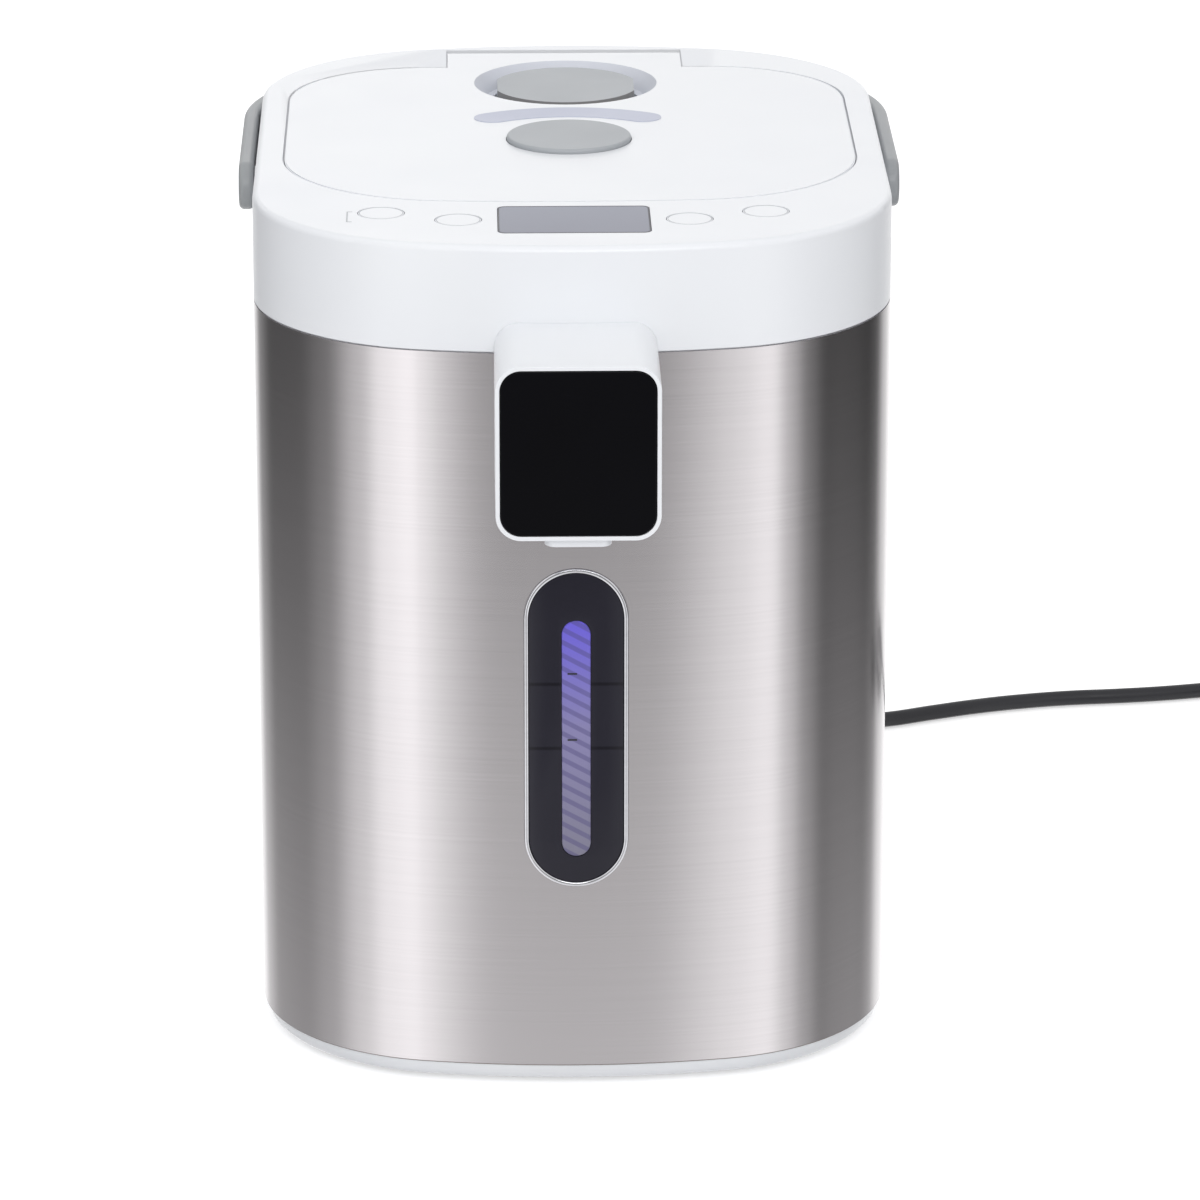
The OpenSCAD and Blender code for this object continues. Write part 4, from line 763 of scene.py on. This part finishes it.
# ---------------------------------------------------------------- studio
def build_floor():
    """Pale floor, a little brighter to the camera, that isn't mirrored in the pot."""
    bm = bmesh.new()
    bmesh.ops.create_grid(bm, x_segments=1, y_segments=1, size=6.0)
    mesh = bpy.data.meshes.new("pale_floor")
    bm.to_mesh(mesh)
    bm.free()
    floor = link(bpy.data.objects.new("pale_floor", mesh))
    made = bpy.data.materials.new("pale_floor")
    made.use_nodes = True
    tree = made.node_tree
    tree.nodes.clear()
    where = put(tree, "TexCoord").outputs["Object"]
    cloud = put(tree, "TexNoise", [("Vector", where), ("Scale", 3.0), ("Detail", 2.0)])
    pale = blend(tree, cloud.outputs["Fac"], (0.80, 0.80, 0.805, 1), (0.82, 0.82, 0.825, 1))
    cloth = put(tree, "BsdfDiffuse", [("Color", pale)])
    ray = put(tree, "LightPath")
    lift = work_out(tree, "MULTIPLY", ray.outputs["Is Camera Ray"], 0.5)
    glow = put(tree, "Emission", [("Color", (1, 1, 1, 1)), ("Strength", lift)])
    both = put(tree, "AddShader", [(0, cloth.outputs[0]), (1, glow.outputs[0])])
    put(tree, "OutputMaterial", [("Surface", both.outputs[0])])
    mesh.materials.append(made)
    floor.visible_glossy = False


def hang_studio():
    """A white room with soft boxes and dark flags round the pot, as a function of bearing."""
    world = bpy.data.worlds.new("studio")
    bpy.context.scene.world = world
    world.use_nodes = True
    tree = world.node_tree
    tree.nodes.clear()
    part = put(tree, "SeparateXYZ", [(0, put(tree, "TexCoord").outputs["Generated"])])
    front = work_out(tree, "MULTIPLY", part.outputs["Y"], -1.0)
    bearing = work_out(tree, "ARCTAN2", part.outputs["X"], front)
    turn = work_out(tree, "MULTIPLY_ADD", bearing, 1 / (2 * math.pi), 0.5)
    ring = put(tree, "ValToRGB", [("Fac", turn)])
    ring.color_ramp.interpolation = "EASE"
    # bearing in degrees from the front towards the right, and brightness there
    stops = [(-180, 1.5), (-164, 1.05), (-150, 0.45), (-132, 0.19), (-102, 0.17), (-82, 0.3),
             (-58, 0.84), (-44, 1.32), (-27, 1.49), (-12, 0.5), (0, 0.49), (12, 0.5), (27, 1.12),
             (48, 1.34), (60, 0.76), (72, 0.3), (85, 0.1), (97, 0.13), (112, 0.135), (124, 0.115),
             (134, 0.2), (150, 0.93), (165, 1.25), (180, 1.35)]
    strength = 2.0  # of the room, so that no colour in the ramp goes over 1
    ramp = ring.color_ramp.elements
    while len(ramp) < len(stops):
        ramp.new(0.5)
    for stop, (degrees, value) in zip(ramp, stops):
        stop.position = degrees / 360 + 0.5
        stop.color = (value / strength, value / strength, value / strength * 1.01, 1)
    # the flags look darker towards the top of the wall that mirrors them
    kept_level = 0.68  # the level that the bend leaves as it is
    bend = remap(tree, part.outputs["Z"], -0.36, -0.26, 0.45, 1.65)
    share = work_out(tree, "DIVIDE", ring.outputs["Color"], kept_level)
    level = work_out(tree, "MULTIPLY", work_out(tree, "POWER", share, bend), kept_level)
    up = remap(tree, part.outputs["Z"], 0.12, 0.5, interpolation_type="SMOOTHSTEP")
    walls = blend(tree, up, level, (0.42, 0.42, 0.423, 1))
    room = put(tree, "Background", [("Color", walls), ("Strength", strength)])
    plain = put(tree, "Background", [("Color", (1, 1, 1, 1)), ("Strength", 1.0)])
    ray = put(tree, "LightPath")
    pick = put(tree, "MixShader", [(0, ray.outputs["Is Camera Ray"]), (1, room.outputs[0]),
                                   (2, plain.outputs[0])])
    put(tree, "OutputWorld", [("Surface", pick.outputs[0])])


def soft_lamp(name, spot, aim, wide, tall, watts):
    data = bpy.data.lights.new(name, "AREA")
    data.shape = "RECTANGLE"
    data.size = wide
    data.size_y = tall
    data.energy = watts
    lamp = link(bpy.data.objects.new(name, data))
    lamp.location = spot
    lamp.rotation_euler = (Vector(aim) - Vector(spot)).to_track_quat("-Z", "Y").to_euler()


build_floor()
hang_studio()
soft_lamp("overhead_soft_box", spot=(-0.5, -0.6, 1.9), aim=(0, 0, 0.2), wide=1.6, tall=1.2, watts=1.5)
soft_lamp("front_soft_box", spot=(0.2, -2.4, 1.5), aim=(0, 0, 0.15), wide=1.4, tall=1.0, watts=15)
bpy.context.scene.view_settings.view_transform = "Standard"
